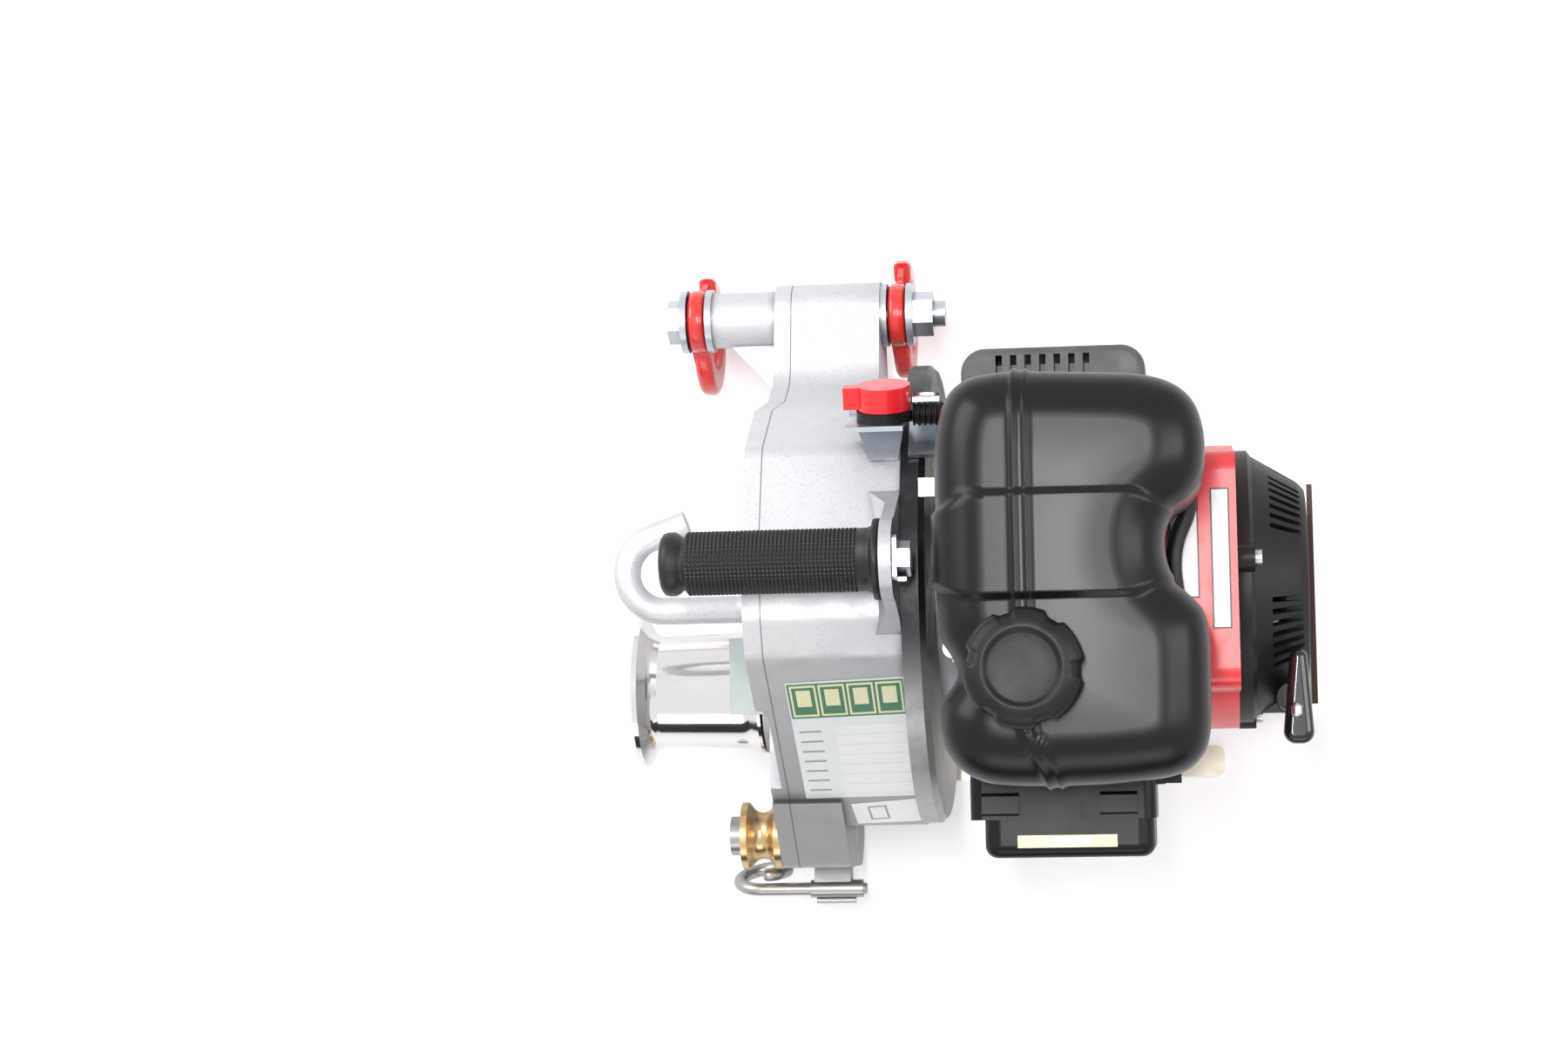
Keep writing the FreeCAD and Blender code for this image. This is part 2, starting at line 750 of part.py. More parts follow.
def housing_cover():
    body = new_body("housing_cover")
    left = COVER_LEFT
    thick = g.cover_thick
    pad_outline(body, "YZ_Plane", left, housing_outline(), thick)
    pad_outline(body, "YZ_Plane", left, rear_arm_outline(), thick)
    pad_circle(body, "YZ_Plane", left, g.anchor_y, g.anchor_z, g.arm_end_radius, thick)
    pad_circle(body, "YZ_Plane", left - g.anchor_tube_length, g.anchor_y, g.anchor_z, g.anchor_tube_radius,
               g.anchor_tube_length)
    pad_outline(body, "YZ_Plane", left, front_arm_outline(), thick)
    web = new_sketch(body, "XY_Plane", g.anchor_z - 3)
    add_outline(web, [(left + 2, g.anchor_y - 8), (left - 28, g.anchor_y - 12), (left + 2, g.anchor_y - 44)])
    pad(body, web, 6)
    pad_circle(body, "YZ_Plane", BOSS_LEFT, g.drum_y, DRUM_Z, g.drum_boss_radius, g.drum_boss_high)
    profile = new_sketch(body, "YZ_Plane", left + 1)
    add_circle(profile, g.exit_hook_y, EXIT_HOOK_Z, g.exit_hook_radius)
    spine = new_sketch(body, "XY_Plane", EXIT_HOOK_Z)
    hook_spine(spine)
    pipe = body.newObject("PartDesign::AdditivePipe", "exit_hook")
    pipe.Profile = profile
    pipe.Spine = spine
    cut_outline(body, "YZ_Plane", left,
                box_corners(g.front_arm_end_y, FRONT_CUT_Z, g.front_cut_y, HOUSING_TOP), g.front_cut_depth)
    cut_circle(body, "YZ_Plane", left - g.anchor_tube_length, g.anchor_y, g.anchor_z, g.anchor_bolt_radius,
               g.anchor_tube_length + thick)
    cut_circle(body, "YZ_Plane", left, g.roller_y, g.roller_z, g.roller_bolt_radius, thick)
    cut_circle(body, "YZ_Plane", BOSS_LEFT, g.drum_y, DRUM_Z, g.drum_bearing_radius, g.drum_boss_high + thick)
    lay = g.layshaft_radius + g.bearing_ring
    for y, z in ((FIRST_Y, FIRST_Z), (SECOND_Y, SECOND_Z)):
        cut_circle(body, "YZ_Plane", g.parting_x - g.bearing_depth, y, z, lay, g.bearing_depth)
    for y, z in cover_screw_places():
        cut_circle(body, "YZ_Plane", left, y, z, g.screw_head_radius, g.screw_head_thick)
    doc.recompute()
    base_x = float(left)
    round_edges(body, g.exit_hook_flare,
                lambda e: e.Curve.TypeId == "Part::GeomCircle" and on_plane(e, "x", base_x)
                and abs(e.Curve.Radius - float(g.exit_hook_radius)) < 0.01)


def hook_spine(sketch):
    """The hook's centre line seen from above: out from the cover, round, and back on a slope."""
    y = float(g.exit_hook_y)
    start = float(COVER_LEFT + 1)
    radius = float(g.exit_hook_bend)
    slope = math.radians(float(g.exit_hook_slope))
    bend = float(COVER_LEFT - g.exit_hook_out + g.exit_hook_bend)
    middle = FreeCAD.Vector(bend, y + radius, 0)
    turned_to = FreeCAD.Vector(bend - radius * math.sin(slope), y + radius + radius * math.cos(slope), 0)
    tip = turned_to + FreeCAD.Vector(math.cos(slope), math.sin(slope), 0) * float(g.exit_hook_straight)
    circle = Part.Circle(middle, FreeCAD.Vector(0, 0, 1), radius)
    first = sketch.addGeometry(Part.LineSegment(FreeCAD.Vector(start, y, 0), FreeCAD.Vector(bend, y, 0)))
    arc = sketch.addGeometry(Part.ArcOfCircle(circle, math.pi / 2 + slope, 3 * math.pi / 2))
    last = sketch.addGeometry(Part.LineSegment(turned_to, tip))
    rows = [(Sketcher.Constraint("Tangent", first, 2, arc, 2), None),
            (Sketcher.Constraint("Tangent", arc, 1, last, 1), None),
            (Sketcher.Constraint("Horizontal", first), None),
            (Sketcher.Constraint("Radius", arc, radius), g.exit_hook_bend),
            (Sketcher.Constraint("Distance", last, float(g.exit_hook_straight)), g.exit_hook_straight)]
    hold_point(sketch, rows, first, 1, COVER_LEFT + 1, g.exit_hook_y)
    rows.append((Sketcher.Constraint("DistanceX", -1, 1, arc, 3, bend),
                 COVER_LEFT - g.exit_hook_out + g.exit_hook_bend))
    apply_rows(sketch, rows)


def gear_train():
    """Wheels and pinions, each turned so that its teeth mesh with the one before."""
    turn_one = facing(0, float(g.crank_height), FIRST_Y, FIRST_Z)
    wheel_one = mesh_turn(turn_one, TEETH["first_pinion"], TEETH["first_wheel"], turn_one)
    turn_two = facing(FIRST_Y, FIRST_Z, SECOND_Y, SECOND_Z)
    wheel_two = mesh_turn(turn_two, TEETH["second_pinion"], TEETH["second_wheel"], turn_two)
    turn_three = facing(SECOND_Y, SECOND_Z, float(g.drum_y), float(DRUM_Z))
    wheel_three = mesh_turn(turn_three, TEETH["output_pinion"], TEETH["output"], turn_three)
    crank_z = float(g.crank_height)
    m1, m2, m3 = float(g.module_first), float(g.module_second), float(g.module_third)
    far_end = float(g.parting_x - g.bearing_depth)
    near_end = float(WALL_LEFT + g.bearing_depth)

    pinion = gear_shape(TEETH["first_pinion"], m1, g.wheel_width, 0, turn_one, float(PINION_X), 0, crank_z)
    stub_start = float(PINION_X + g.wheel_width)
    drum_right = float(g.clutch_drum_depth)
    back = float(HOUSING_RIGHT - g.clutch_room_depth + g.clutch_shoe_gap)
    stub = rod(vec(stub_start, 0, crank_z), X_WAY, g.layshaft_radius, back - stub_start)
    cup = rod(vec(back, 0, crank_z), X_WAY, g.clutch_drum_radius, drum_right)
    inner = g.clutch_drum_radius - g.clutch_drum_wall
    cup = cup.cut(rod(vec(back + float(g.clutch_drum_wall), 0, crank_z), X_WAY, inner, drum_right))
    shaped("clutch_drum", pinion.fuse([stub, cup]).removeSplitter())

    wheel = gear_shape(TEETH["first_wheel"], m1, g.wheel_width, 0, wheel_one, float(PINION_X), FIRST_Y, FIRST_Z)
    small = gear_shape(TEETH["second_pinion"], m2, g.wheel_width + g.gear_gap * 1.5, 0, turn_two, float(SECOND_X),
                       FIRST_Y, FIRST_Z)
    axle = rod(vec(far_end, FIRST_Y, FIRST_Z), X_WAY, g.layshaft_radius, near_end - far_end)
    shaped("first_gear_shaft", wheel.fuse([small, axle]).removeSplitter())

    wheel = gear_shape(TEETH["second_wheel"], m2, g.wheel_width, 0, wheel_two, float(SECOND_X), SECOND_Y, SECOND_Z)
    small = gear_shape(TEETH["output_pinion"], m3, g.output_width + g.gear_gap * 1.5, 0, turn_three, float(OUTPUT_X),
                       SECOND_Y, SECOND_Z)
    axle = rod(vec(far_end, SECOND_Y, SECOND_Z), X_WAY, g.layshaft_radius, near_end - far_end)
    shaped("second_gear_shaft", wheel.fuse([small, axle]).removeSplitter())

    output = gear_shape(TEETH["output"], m3, g.output_width, g.drum_shaft_radius, wheel_three, float(OUTPUT_X),
                        float(g.drum_y), float(DRUM_Z))
    shaped("output_gear", output)


def shaft_bearings():
    """Plain bushes and the two drum bearings, each seated in its bore with a running gap to its shaft."""
    lay = g.layshaft_radius + g.shaft_gap
    lay_out = g.layshaft_radius + g.bearing_ring
    crank_z = float(g.crank_height)
    rings = [ring(vec(WALL_LEFT, 0, crank_z), X_WAY, lay_out, lay, g.clutch_wall)]
    for y, z in ((FIRST_Y, FIRST_Z), (SECOND_Y, SECOND_Z)):
        rings.append(ring(vec(WALL_LEFT, y, z), X_WAY, lay_out, lay, g.bearing_depth))
        rings.append(ring(vec(g.parting_x - g.bearing_depth, y, z), X_WAY, lay_out, lay, g.bearing_depth))
    drum = g.drum_shaft_radius + g.shaft_gap
    rings.append(ring(vec(WALL_LEFT, g.drum_y, DRUM_Z), X_WAY, g.drum_bearing_radius, drum, g.bearing_depth))
    seal = float(g.seal_thick)
    rings.append(ring(vec(BOSS_LEFT + seal, g.drum_y, DRUM_Z), X_WAY, g.drum_bearing_radius, drum,
                      g.drum_boss_high + g.cover_thick - seal))
    shaped("shaft_bearings", Part.makeCompound(rings))
    shaped("drum_seal", ring(vec(BOSS_LEFT, g.drum_y, DRUM_Z), X_WAY, g.drum_bearing_radius,
                             g.drum_shaft_radius + g.seal_gap, seal))


def capstan_drum():
    left = g.drum_outer_x
    inner = g.drum_inner_x
    barrel = g.barrel_radius
    rim = g.drum_rim_radius
    shaft_end = WALL_LEFT + g.bearing_depth
    slim = barrel - g.barrel_taper
    turned("capstan_drum", "X", [
        (left + 5, 0), (left + 5, slim - 10), (left, slim - 6), (left, rim - 3),
        (left + 1.5, rim), (left + g.drum_rim_thick, rim), (left + g.drum_rim_thick + 4.5, slim + 2, 6),
        (left + g.drum_rim_thick + 9, slim), (inner - 8, barrel, 12), (inner - 1.5, barrel + 2.5),
        (inner, barrel + 2.5), (inner, g.drum_shaft_radius + 4), (inner + 0.8, g.drum_shaft_radius + 4),
        (inner + 0.8, g.drum_shaft_radius), (shaft_end, g.drum_shaft_radius), (shaft_end, 0),
    ], 0, g.drum_y, DRUM_Z)


def rope_guard():
    """A bent strip over the barrel's inner end, its leg against the cover."""
    body = extruded("rope_guard", "XY_Plane", ROPE_GUARD_Z,
                    box_corners(g.guard_reach_x, g.drum_y - 14, COVER_LEFT, g.drum_y - 14 + g.guard_width), g.guard_thick)
    pad_outline(body, "XY_Plane", ROPE_GUARD_Z,
                box_corners(COVER_LEFT - g.guard_thick, g.drum_y - 14, COVER_LEFT, g.drum_y - 14 + g.guard_width),
                g.guard_leg)


def roller_set():
    y, z = float(g.roller_y), float(g.roller_z)
    washer = g.roller_washer_thick
    gap = g.roller_end_gap
    right = COVER_LEFT - washer * 2 - gap
    left = right - g.roller_length
    rim, waist, bolt = g.roller_rim_radius, g.roller_waist_radius, g.roller_bolt_radius
    body = new_body("guide_roller")
    sketch = new_sketch(body, "XZ_Plane")
    middle = (left + right) / 2
    width = g.roller_rim_width
    bore = bolt + g.shaft_gap
    add_outline(sketch, [(left, bore), (left, rim), (left + width, rim), (middle - 3, waist, 6), (middle + 3, waist, 6),
                         (right - width, rim), (right, rim), (right, bore)])
    revolve(body, sketch, "H_Axis")
    place(body, 0, g.roller_y, g.roller_z)
    head = float(left - gap)
    end = float(g.front_arm_right_x)
    shank = rod(vec(head, y, z), X_WAY, bolt, end - head)
    cap = rod(vec(head - float(g.roller_head_thick), y, z), X_WAY, g.roller_head_radius, g.roller_head_thick)
    shaped("roller_bolt", shank.fuse(cap).removeSplitter())


def flat_washers():
    """Washers of the roller and of the anchor bolt."""
    rings = []
    roller_face = COVER_LEFT - g.roller_washer_thick
    for i in range(2):
        rings.append(ring(vec(roller_face - g.roller_washer_thick * i, g.roller_y, g.roller_z), X_WAY,
                          g.roller_head_radius + 1, g.roller_bolt_radius, g.roller_washer_thick))
    for x in anchor_places()["washers"]:
        rings.append(ring(vec(x, g.anchor_y, g.anchor_z), X_WAY, g.washer_radius, g.anchor_bolt_radius, g.washer_thick))
    shaped("flat_washers", Part.makeCompound(rings))


def anchor_places():
    """Places along the anchor bolt, counted outwards from the tube's end and from the rear arm."""
    play = g.hook_play
    tube_left = COVER_LEFT - g.anchor_tube_length
    arm_right = g.rear_arm_right_x
    room = g.hook_thick + play * 2
    left_hook = tube_left - g.washer_thick - room
    right_hook = arm_right + g.washer_thick
    return {
        "washers": [tube_left - g.washer_thick, left_hook - g.washer_thick, arm_right, right_hook + room],
        "hooks": [left_hook, right_hook],
        "room": room,
        "head": left_hook - g.washer_thick - g.anchor_head_thick,
        "nut": right_hook + room + g.washer_thick,
    }


def anchor_bolt_set():
    places = anchor_places()
    y, z = float(g.anchor_y), float(g.anchor_z)
    head = float(places["head"])
    nut = float(places["nut"])
    shank_start = head + float(g.anchor_head_thick)
    shank_end = nut + float(g.anchor_nut_thick + g.anchor_thread_out)
    shank = rod(vec(shank_start, y, z), X_WAY, g.anchor_bolt_radius, shank_end - shank_start)
    shaped("anchor_bolt", shank.fuse(hex_prism(vec(head, y, z), g.anchor_head_across, g.anchor_head_thick)))
    nut_shape = hex_prism(vec(nut, y, z), g.anchor_head_across, g.anchor_nut_thick)
    shaped("anchor_nut", nut_shape.cut(rod(vec(nut, y, z), X_WAY, g.anchor_bolt_radius, g.anchor_nut_thick)))
    bushes = [ring(vec(x, y, z), X_WAY, g.bush_radius, g.anchor_bolt_radius, places["room"])
              for x in places["hooks"]]
    shaped("hook_bushes", Part.makeCompound(bushes))


def hook_shape(x):
    """A sling hook hanging from its eye: eye ring, neck, and a bowl open to the rear above the tip."""
    thick = float(g.hook_thick)
    y, z = float(g.anchor_y), float(g.anchor_z)
    start = vec(x, y, z)
    eye = rod(start, X_WAY, g.hook_eye_radius, thick)
    by, bz = y + float(g.hook_bowl_y), z + float(g.hook_bowl_z)
    outer = float(g.hook_bowl_radius + g.hook_bowl_width / 2)
    inner = float(g.hook_bowl_radius - g.hook_bowl_width / 2)
    bowl = rod(vec(x, by, bz), X_WAY, outer, thick)
    hollow = rod(vec(x - 1, by + 1.5, bz + 1), X_WAY, inner, thick + 2)
    open_from = math.radians(18.0)
    open_to = math.radians(float(g.hook_throat_start))
    reach = outer * 2
    mouth = Part.Face(Part.makePolygon([
        vec(x - 1, by, bz), vec(x - 1, by + reach * math.cos(open_from), bz + reach * math.sin(open_from)),
        vec(x - 1, by + reach * math.cos(open_to), bz + reach * math.sin(open_to)), vec(x - 1, by, bz)]))
    mouth = mouth.extrude(X_WAY * (thick + 2))
    neck = Part.Face(Part.makePolygon([
        vec(x, y - 15, z - 5), vec(x, y + 13, z - 8), vec(x, by + 18, bz + 22), vec(x, by - 24, bz + 14),
        vec(x, y - 15, z - 5)])).extrude(X_WAY * thick)
    shape = bowl.cut(mouth).fuse([eye, neck]).cut(hollow)
    shape = shape.cut(rod(vec(x - 1, y, z), X_WAY, g.bush_radius + g.bush_gap, thick + 2)).removeSplitter()
    biggest = max(shape.Solids, key=lambda s: s.Volume)
    outside = [e for e in biggest.Edges
               if abs(e.BoundBox.XLength) < 0.01 and e.Length > 8 and not is_bore(e)]
    try_round = biggest.makeFillet(float(g.hook_round), outside)
    return try_round if try_round.isValid() else biggest


def is_bore(edge):
    curve = edge.Curve
    return curve.TypeId == "Part::GeomCircle" and abs(curve.Radius - float(g.bush_radius + g.bush_gap)) < 0.01


def latch_shape(x):
    """The spring latch that closes the throat, from a pivot in the hook's neck to the inside of its tip."""
    thick = float(g.latch_thick)
    middle = float(x) + (float(g.hook_thick) - thick) / 2
    y, z = latch_pivot()
    tip_y, tip_z = latch_tip()
    way = FreeCAD.Vector(0, tip_y - y, tip_z - z).normalize()
    across = FreeCAD.Vector(0, -way.z, way.y)
    half = 2.6
    a = vec(middle, y, z)
    b = vec(middle, tip_y, tip_z)
    corners = [a + across * half, b + across * half, b - across * half, a - across * half, a + across * half]
    blade = Part.Face(Part.makePolygon(corners)).extrude(X_WAY * thick)
    knuckle = rod(a, X_WAY, half + 1, thick)
    return blade.fuse(knuckle).removeSplitter()


def latch_pivot():
    return float(g.anchor_y) + 17.5, float(g.anchor_z) - 19.5


def latch_tip():
    by = float(g.anchor_y + g.hook_bowl_y)
    bz = float(g.anchor_z + g.hook_bowl_z)
    angle = math.radians(16.0)
    reach = float(g.hook_bowl_radius) + 1.5
    return by + reach * math.cos(angle), bz + reach * math.sin(angle) + 2.6


def swung(shape, degrees):
    shape.rotate(vec(0, g.anchor_y, g.anchor_z), X_WAY, degrees)
    return shape


def anchor_hooks():
    """Both hooks alike; the right one hangs swung a few degrees to the rear."""
    places = anchor_places()["hooks"]
    for side, x, turn in (("left", places[0], 0.0), ("right", places[1], float(g.right_hook_swing))):
        body = hook_shape(float(x) + float(g.hook_play))
        latch = latch_shape(float(x) + float(g.hook_play))
        room = latch_room(float(x) + float(g.hook_play))
        shaped(f"anchor_hook_{side}", swung(body.cut(room), turn))
        shaped(f"hook_latch_{side}", swung(latch, turn))


def latch_room(x):
    """The slot in the neck where the latch turns."""
    thick = float(g.latch_thick + g.hook_play * 2)
    middle = x + (float(g.hook_thick) - thick) / 2
    y, z = latch_pivot()
    return rod(vec(middle, y, z), X_WAY, 9.0, thick)


def pigtail_set():
    """A rod that turns in its sleeve and ends in an open eye for the rope."""
    y, z = float(g.pigtail_y), float(g.pigtail_z)
    radius = float(g.pigtail_rod_radius)
    eye = float(g.pigtail_ring_radius)
    middle_x = float(g.pigtail_ring_x)
    sleeve_left = float(g.parting_x)
    start = vec(sleeve_left + float(g.sleeve_length) + 2, y, z)
    top = vec(middle_x, y, z)
    stops = [vec(middle_x + eye * math.cos(a), y, z - eye + eye * math.sin(a))
             for a in (math.radians(235), math.radians(380))]
    path = Part.Wire([Part.LineSegment(start, top).toShape(), Part.Arc(top, stops[0], stops[1]).toShape()])
    section = Part.Wire(Part.makeCircle(radius, start, FreeCAD.Vector(-1, 0, 0)))
    pipe = path.makePipeShell([section], True, True)
    shaped("rope_pigtail", pipe)
    shaped("pigtail_sleeve", ring(vec(sleeve_left, y, z), X_WAY, g.sleeve_radius, radius + float(g.sleeve_gap),
                                  g.sleeve_length))
    clip_y = y - float(g.sleeve_radius) - float(g.clip_radius)
    shaped("sleeve_clip", rod(vec(sleeve_left + 3, clip_y, z), X_WAY, g.clip_radius, float(g.sleeve_length) - 7))


def handle_set():
    y, z = g.grip_y, GRIP_Z
    left = g.grip_left_x
    right = HOUSING_RIGHT - g.lug_thick
    flange = right - g.grip_flange_thick
    r, neck, big = g.grip_radius, g.grip_neck_radius, g.grip_flange_radius
    core = g.core_radius
    body = new_body("handle_grip")
    sketch = new_sketch(body, "XZ_Plane")
    add_outline(sketch, [(left, 0), (left, r - 4), (left + 2, r, 1.5), (left + 6, r + 0.2, 3), (left + 11, neck, 4),
                         (left + 12.5, neck), (left + 12.6, r), (flange - 7, r), (flange - 6.9, neck), (flange - 2, neck, 2),
                         (flange, big - 1), (right, big), (right, core), (left + 3, core), (left + 3, 0)])
    revolve(body, sketch, "H_Axis")
    place(body, 0, y, z)
    turned("handle_core", "X", [(left + 3, 0), (left + 3, core), (right, core), (right, 0)], 0, y, z)
    bolt_start = float(HOUSING_RIGHT + g.lock_washer_thick)
    shank = rod(vec(float(right), y, z), X_WAY, g.handle_bolt_radius, bolt_start - float(right))
    head = hex_prism(vec(bolt_start, y, z), g.handle_bolt_across, g.handle_bolt_head)
    shaped("handle_bolt", shank.fuse(head).removeSplitter())
    half = g.lock_washer_side / 2
    washer = extruded("lock_washer", "YZ_Plane", HOUSING_RIGHT,
                      box_corners(y - half, z - half, y + half, z + half, 2), g.lock_washer_thick,
                      [(y, z, g.handle_bolt_radius)])
    pad_outline(washer, "YZ_Plane", HOUSING_RIGHT,
                box_corners(y - half, z - half, y - half + g.lock_washer_thick, z + half * 0.4), 6)


def clutch_bell():
    body = new_body("clutch_bell")
    sketch = new_sketch(body, "YZ_Plane", HOUSING_RIGHT)
    add_circle(sketch, 0, g.crank_height, g.bell_radius)
    add_circle(sketch, 0, g.crank_height, g.clutch_room_radius)
    pad(body, sketch, g.bell_thick)
    doc.recompute()
    outer = float(g.bell_radius)
    round_edges(body, g.bell_edge, lambda e: e.Curve.TypeId == "Part::GeomCircle" and abs(e.Curve.Radius - outer) < 0.01
                and on_plane(e, "x", 0), "Chamfer")
    cut_outline(body, "YZ_Plane", HOUSING_RIGHT, box_corners(-g.foot_half, -1, g.foot_half, g.plate_thick), g.bell_thick)


def cover_screw_places():
    z = g.crank_height
    return [(g.grip_y, HOUSING_TOP - 12), (50, HOUSING_TOP - 20), (88, z + 40), (96, z - 2), (92, z - 68),
            (60, 10), (-60, 10), (-106, z - 74)]


def cover_bolts():
    """Socket screws sunk round the cover's edge."""
    heads = []
    for y, z in cover_screw_places():
        start = vec(COVER_LEFT, y, z)
        head = rod(start, X_WAY, g.screw_head_radius, g.screw_head_thick)
        socket = hex_prism(start, g.screw_head_radius, g.screw_head_thick * 0.6)
        heads.append(head.cut(socket))
    shaped("cover_bolts", Part.makeCompound(heads))


# Engine
def engine_block():
    body = new_body("engine_block")
    left = 0
    length = g.block_length
    half = g.block_half_width
    base = g.plate_thick
    middle = g.crank_height
    case = g.crankcase_radius + g.crankcase_wall
    pad_circle(body, "YZ_Plane", left, 0, middle, case, length)
    pad_outline(body, "YZ_Plane", left, [(-half, base, 4), (half, base, 4), (half, g.sump_top, 10), (case - 2, middle - 20),
                                         (-case + 2, middle - 20), (-half, g.sump_top, 10)], length)
    pad_outline(body, "YZ_Plane", left + 8, box_corners(-38, middle, 38, BLOCK_TOP), length - 12)
    cut_circle(body, "YZ_Plane", left + g.crankcase_wall, 0, middle, g.crankcase_radius, length - g.crankcase_wall * 2)
    cut_circle(body, "YZ_Plane", left, 0, middle, g.journal_radius + g.shaft_gap, length)
    cut_circle(body, "XY_Plane", middle, g.cylinder_x, 0, g.cylinder_radius - 6, BLOCK_TOP - middle)
    post = g.tank_post_radius
    clear = post + 1
    for x in (g.cylinder_x - g.fin_side / 2 - clear, g.cylinder_x + g.fin_side / 2 + clear):
        for y in (-34, 34):
            pad_circle(body, "XY_Plane", BLOCK_TOP - 8, x, y, post, TANK_BOTTOM - BLOCK_TOP + 8)


def cylinder_set():
    body = new_body("cylinder")
    x = g.cylinder_x
    low = BLOCK_TOP
    pad_circle(body, "XY_Plane", low, x, 0, g.cylinder_radius, CYLINDER_TOP - low)
    half = g.fin_side / 2
    count = int((float(CYLINDER_TOP) - float(low)) / float(g.fin_pitch))
    for i in range(count):
        pad_outline(body, "XY_Plane", low + 2 + g.fin_pitch * i, box_corners(x - half, -half, x + half, half, 8), g.fin_thick)
    cut_circle(body, "XY_Plane", low, x, 0, g.cylinder_radius - 6, (CYLINDER_TOP - low) * 0.8)
    head = extruded("rocker_cover", "XY_Plane", CYLINDER_TOP,
                    box_corners(x - half + 6, -half + 14, x + half - 6, half - 14, 10), g.rocker_height)
    doc.recompute()
    top = float(CYLINDER_TOP + g.rocker_height)
    round_edges(head, 4, lambda e: on_plane(e, "z", top))
    plug_y = half
    turned("spark_plug", "Y", [(plug_y, 0), (plug_y, 6), (plug_y + 8, 6), (plug_y + 8, 4), (plug_y + 18, 4),
                               (plug_y + 18, 2), (plug_y + 22, 2), (plug_y + 22, 0)], x - 20, 0, CYLINDER_TOP - 8)


def crank_set():
    z = g.crank_height
    web = g.crank_web_radius
    throw = g.crank_throw
    journal = g.journal_radius
    left_web = g.block_length / 2 - g.crank_web_thick - 9
    right_web = g.block_length / 2 + 9
    fan_x = g.block_length + 8
    profile = [(-14, 0), (-14, g.crank_stub_radius), (0, g.crank_stub_radius), (0, journal), (left_web, journal),
               (left_web, web), (left_web + g.crank_web_thick, web), (left_web + g.crank_web_thick, 0)]
    body = turned("crankshaft", "X", profile, 0, 0, z)
    sketch = new_sketch(body, "XZ_Plane")
    add_outline(sketch, [(right_web, 0), (right_web, web), (right_web + g.crank_web_thick, web),
                         (right_web + g.crank_web_thick, journal), (g.block_length, journal),
                         (fan_x, g.crank_stub_radius + 1), (fan_x + 22, g.crank_stub_radius + 1), (fan_x + 22, 0)])
    pin = new_sketch(body, "YZ_Plane", left_web)
    add_circle(pin, 0, throw, g.crank_pin_radius)
    pad(body, pin, right_web + g.crank_web_thick - left_web)
    revolve(body, sketch, "H_Axis")
    fan = new_body("flywheel_fan")
    hub = g.crank_stub_radius + 1
    pad_sketch = new_sketch(fan, "YZ_Plane", fan_x)
    add_circle(pad_sketch, 0, 0, g.fan_radius)
    add_circle(pad_sketch, 0, 0, hub)
    pad(fan, pad_sketch, g.fan_disc_thick)
    hub_sketch = new_sketch(fan, "YZ_Plane", fan_x)
    add_circle(hub_sketch, 0, 0, hub + 9)
    add_circle(hub_sketch, 0, 0, hub)
    pad(fan, hub_sketch, 18)
    blade = new_sketch(fan, "YZ_Plane", fan_x + g.fan_disc_thick)
    add_outline(blade, [(30, -2), (g.fan_radius - 2, 6), (g.fan_radius - 3, 9), (30, 1.5)])
    first = pad(fan, blade, g.blade_height)
    turned_copies(fan, first, "X_Axis", 360, 14)
    place(fan, 0, 0, z)
    shoes()


def shoes():
    """Two shoes on a hub, drawn in, clear of the clutch drum."""
    back = HOUSING_RIGHT - g.clutch_room_depth + g.clutch_shoe_gap + g.clutch_drum_wall + 1
    z = float(g.crank_height)
    outer = float(g.clutch_drum_radius - g.clutch_drum_wall - g.clutch_shoe_gap)
    width = 9.0
    whole = ring(vec(back, 0, z), X_WAY, outer, 15.0, width)
    gap = Part.makeBox(width + 2, 6, outer * 2 + 4, vec(float(back) - 1, -3, z - outer - 2))
    hub = ring(vec(back, 0, z), X_WAY, 15.0, g.crank_stub_radius, width)
    shaped("clutch_shoes", Part.makeCompound(whole.cut(gap).Solids + [hub]))


def tank_outline():
    """The tank from above: two round lobes, a waist on the right and a notch beside the cap on the left."""
    left, right = g.tank_left_x, g.tank_right_x
    front, rear = g.tank_front_y, g.tank_rear_y
    corner = g.tank_corner
    waist = right - g.tank_waist_depth
    waist_front = g.tank_waist_y - g.tank_waist_half
    waist_rear = g.tank_waist_y + g.tank_waist_half
    inner = g.tank_waist_half
    notch = g.tank_notch_y
    side = g.tank_top_round + 2
    return [
        (left, front, corner), (right, front, corner + 2),
        (right, waist_front - g.tank_shoulder_run, corner), (waist, waist_front, inner),
        (waist, waist_rear, inner), (right, waist_rear + g.tank_shoulder_run, corner),
        (right, rear, corner + 2), (left, rear, corner),
        (left, notch + g.tank_notch_half, side), (left + g.tank_notch_depth, notch, g.tank_low_round),
        (left, notch - g.tank_notch_half, side),
    ]


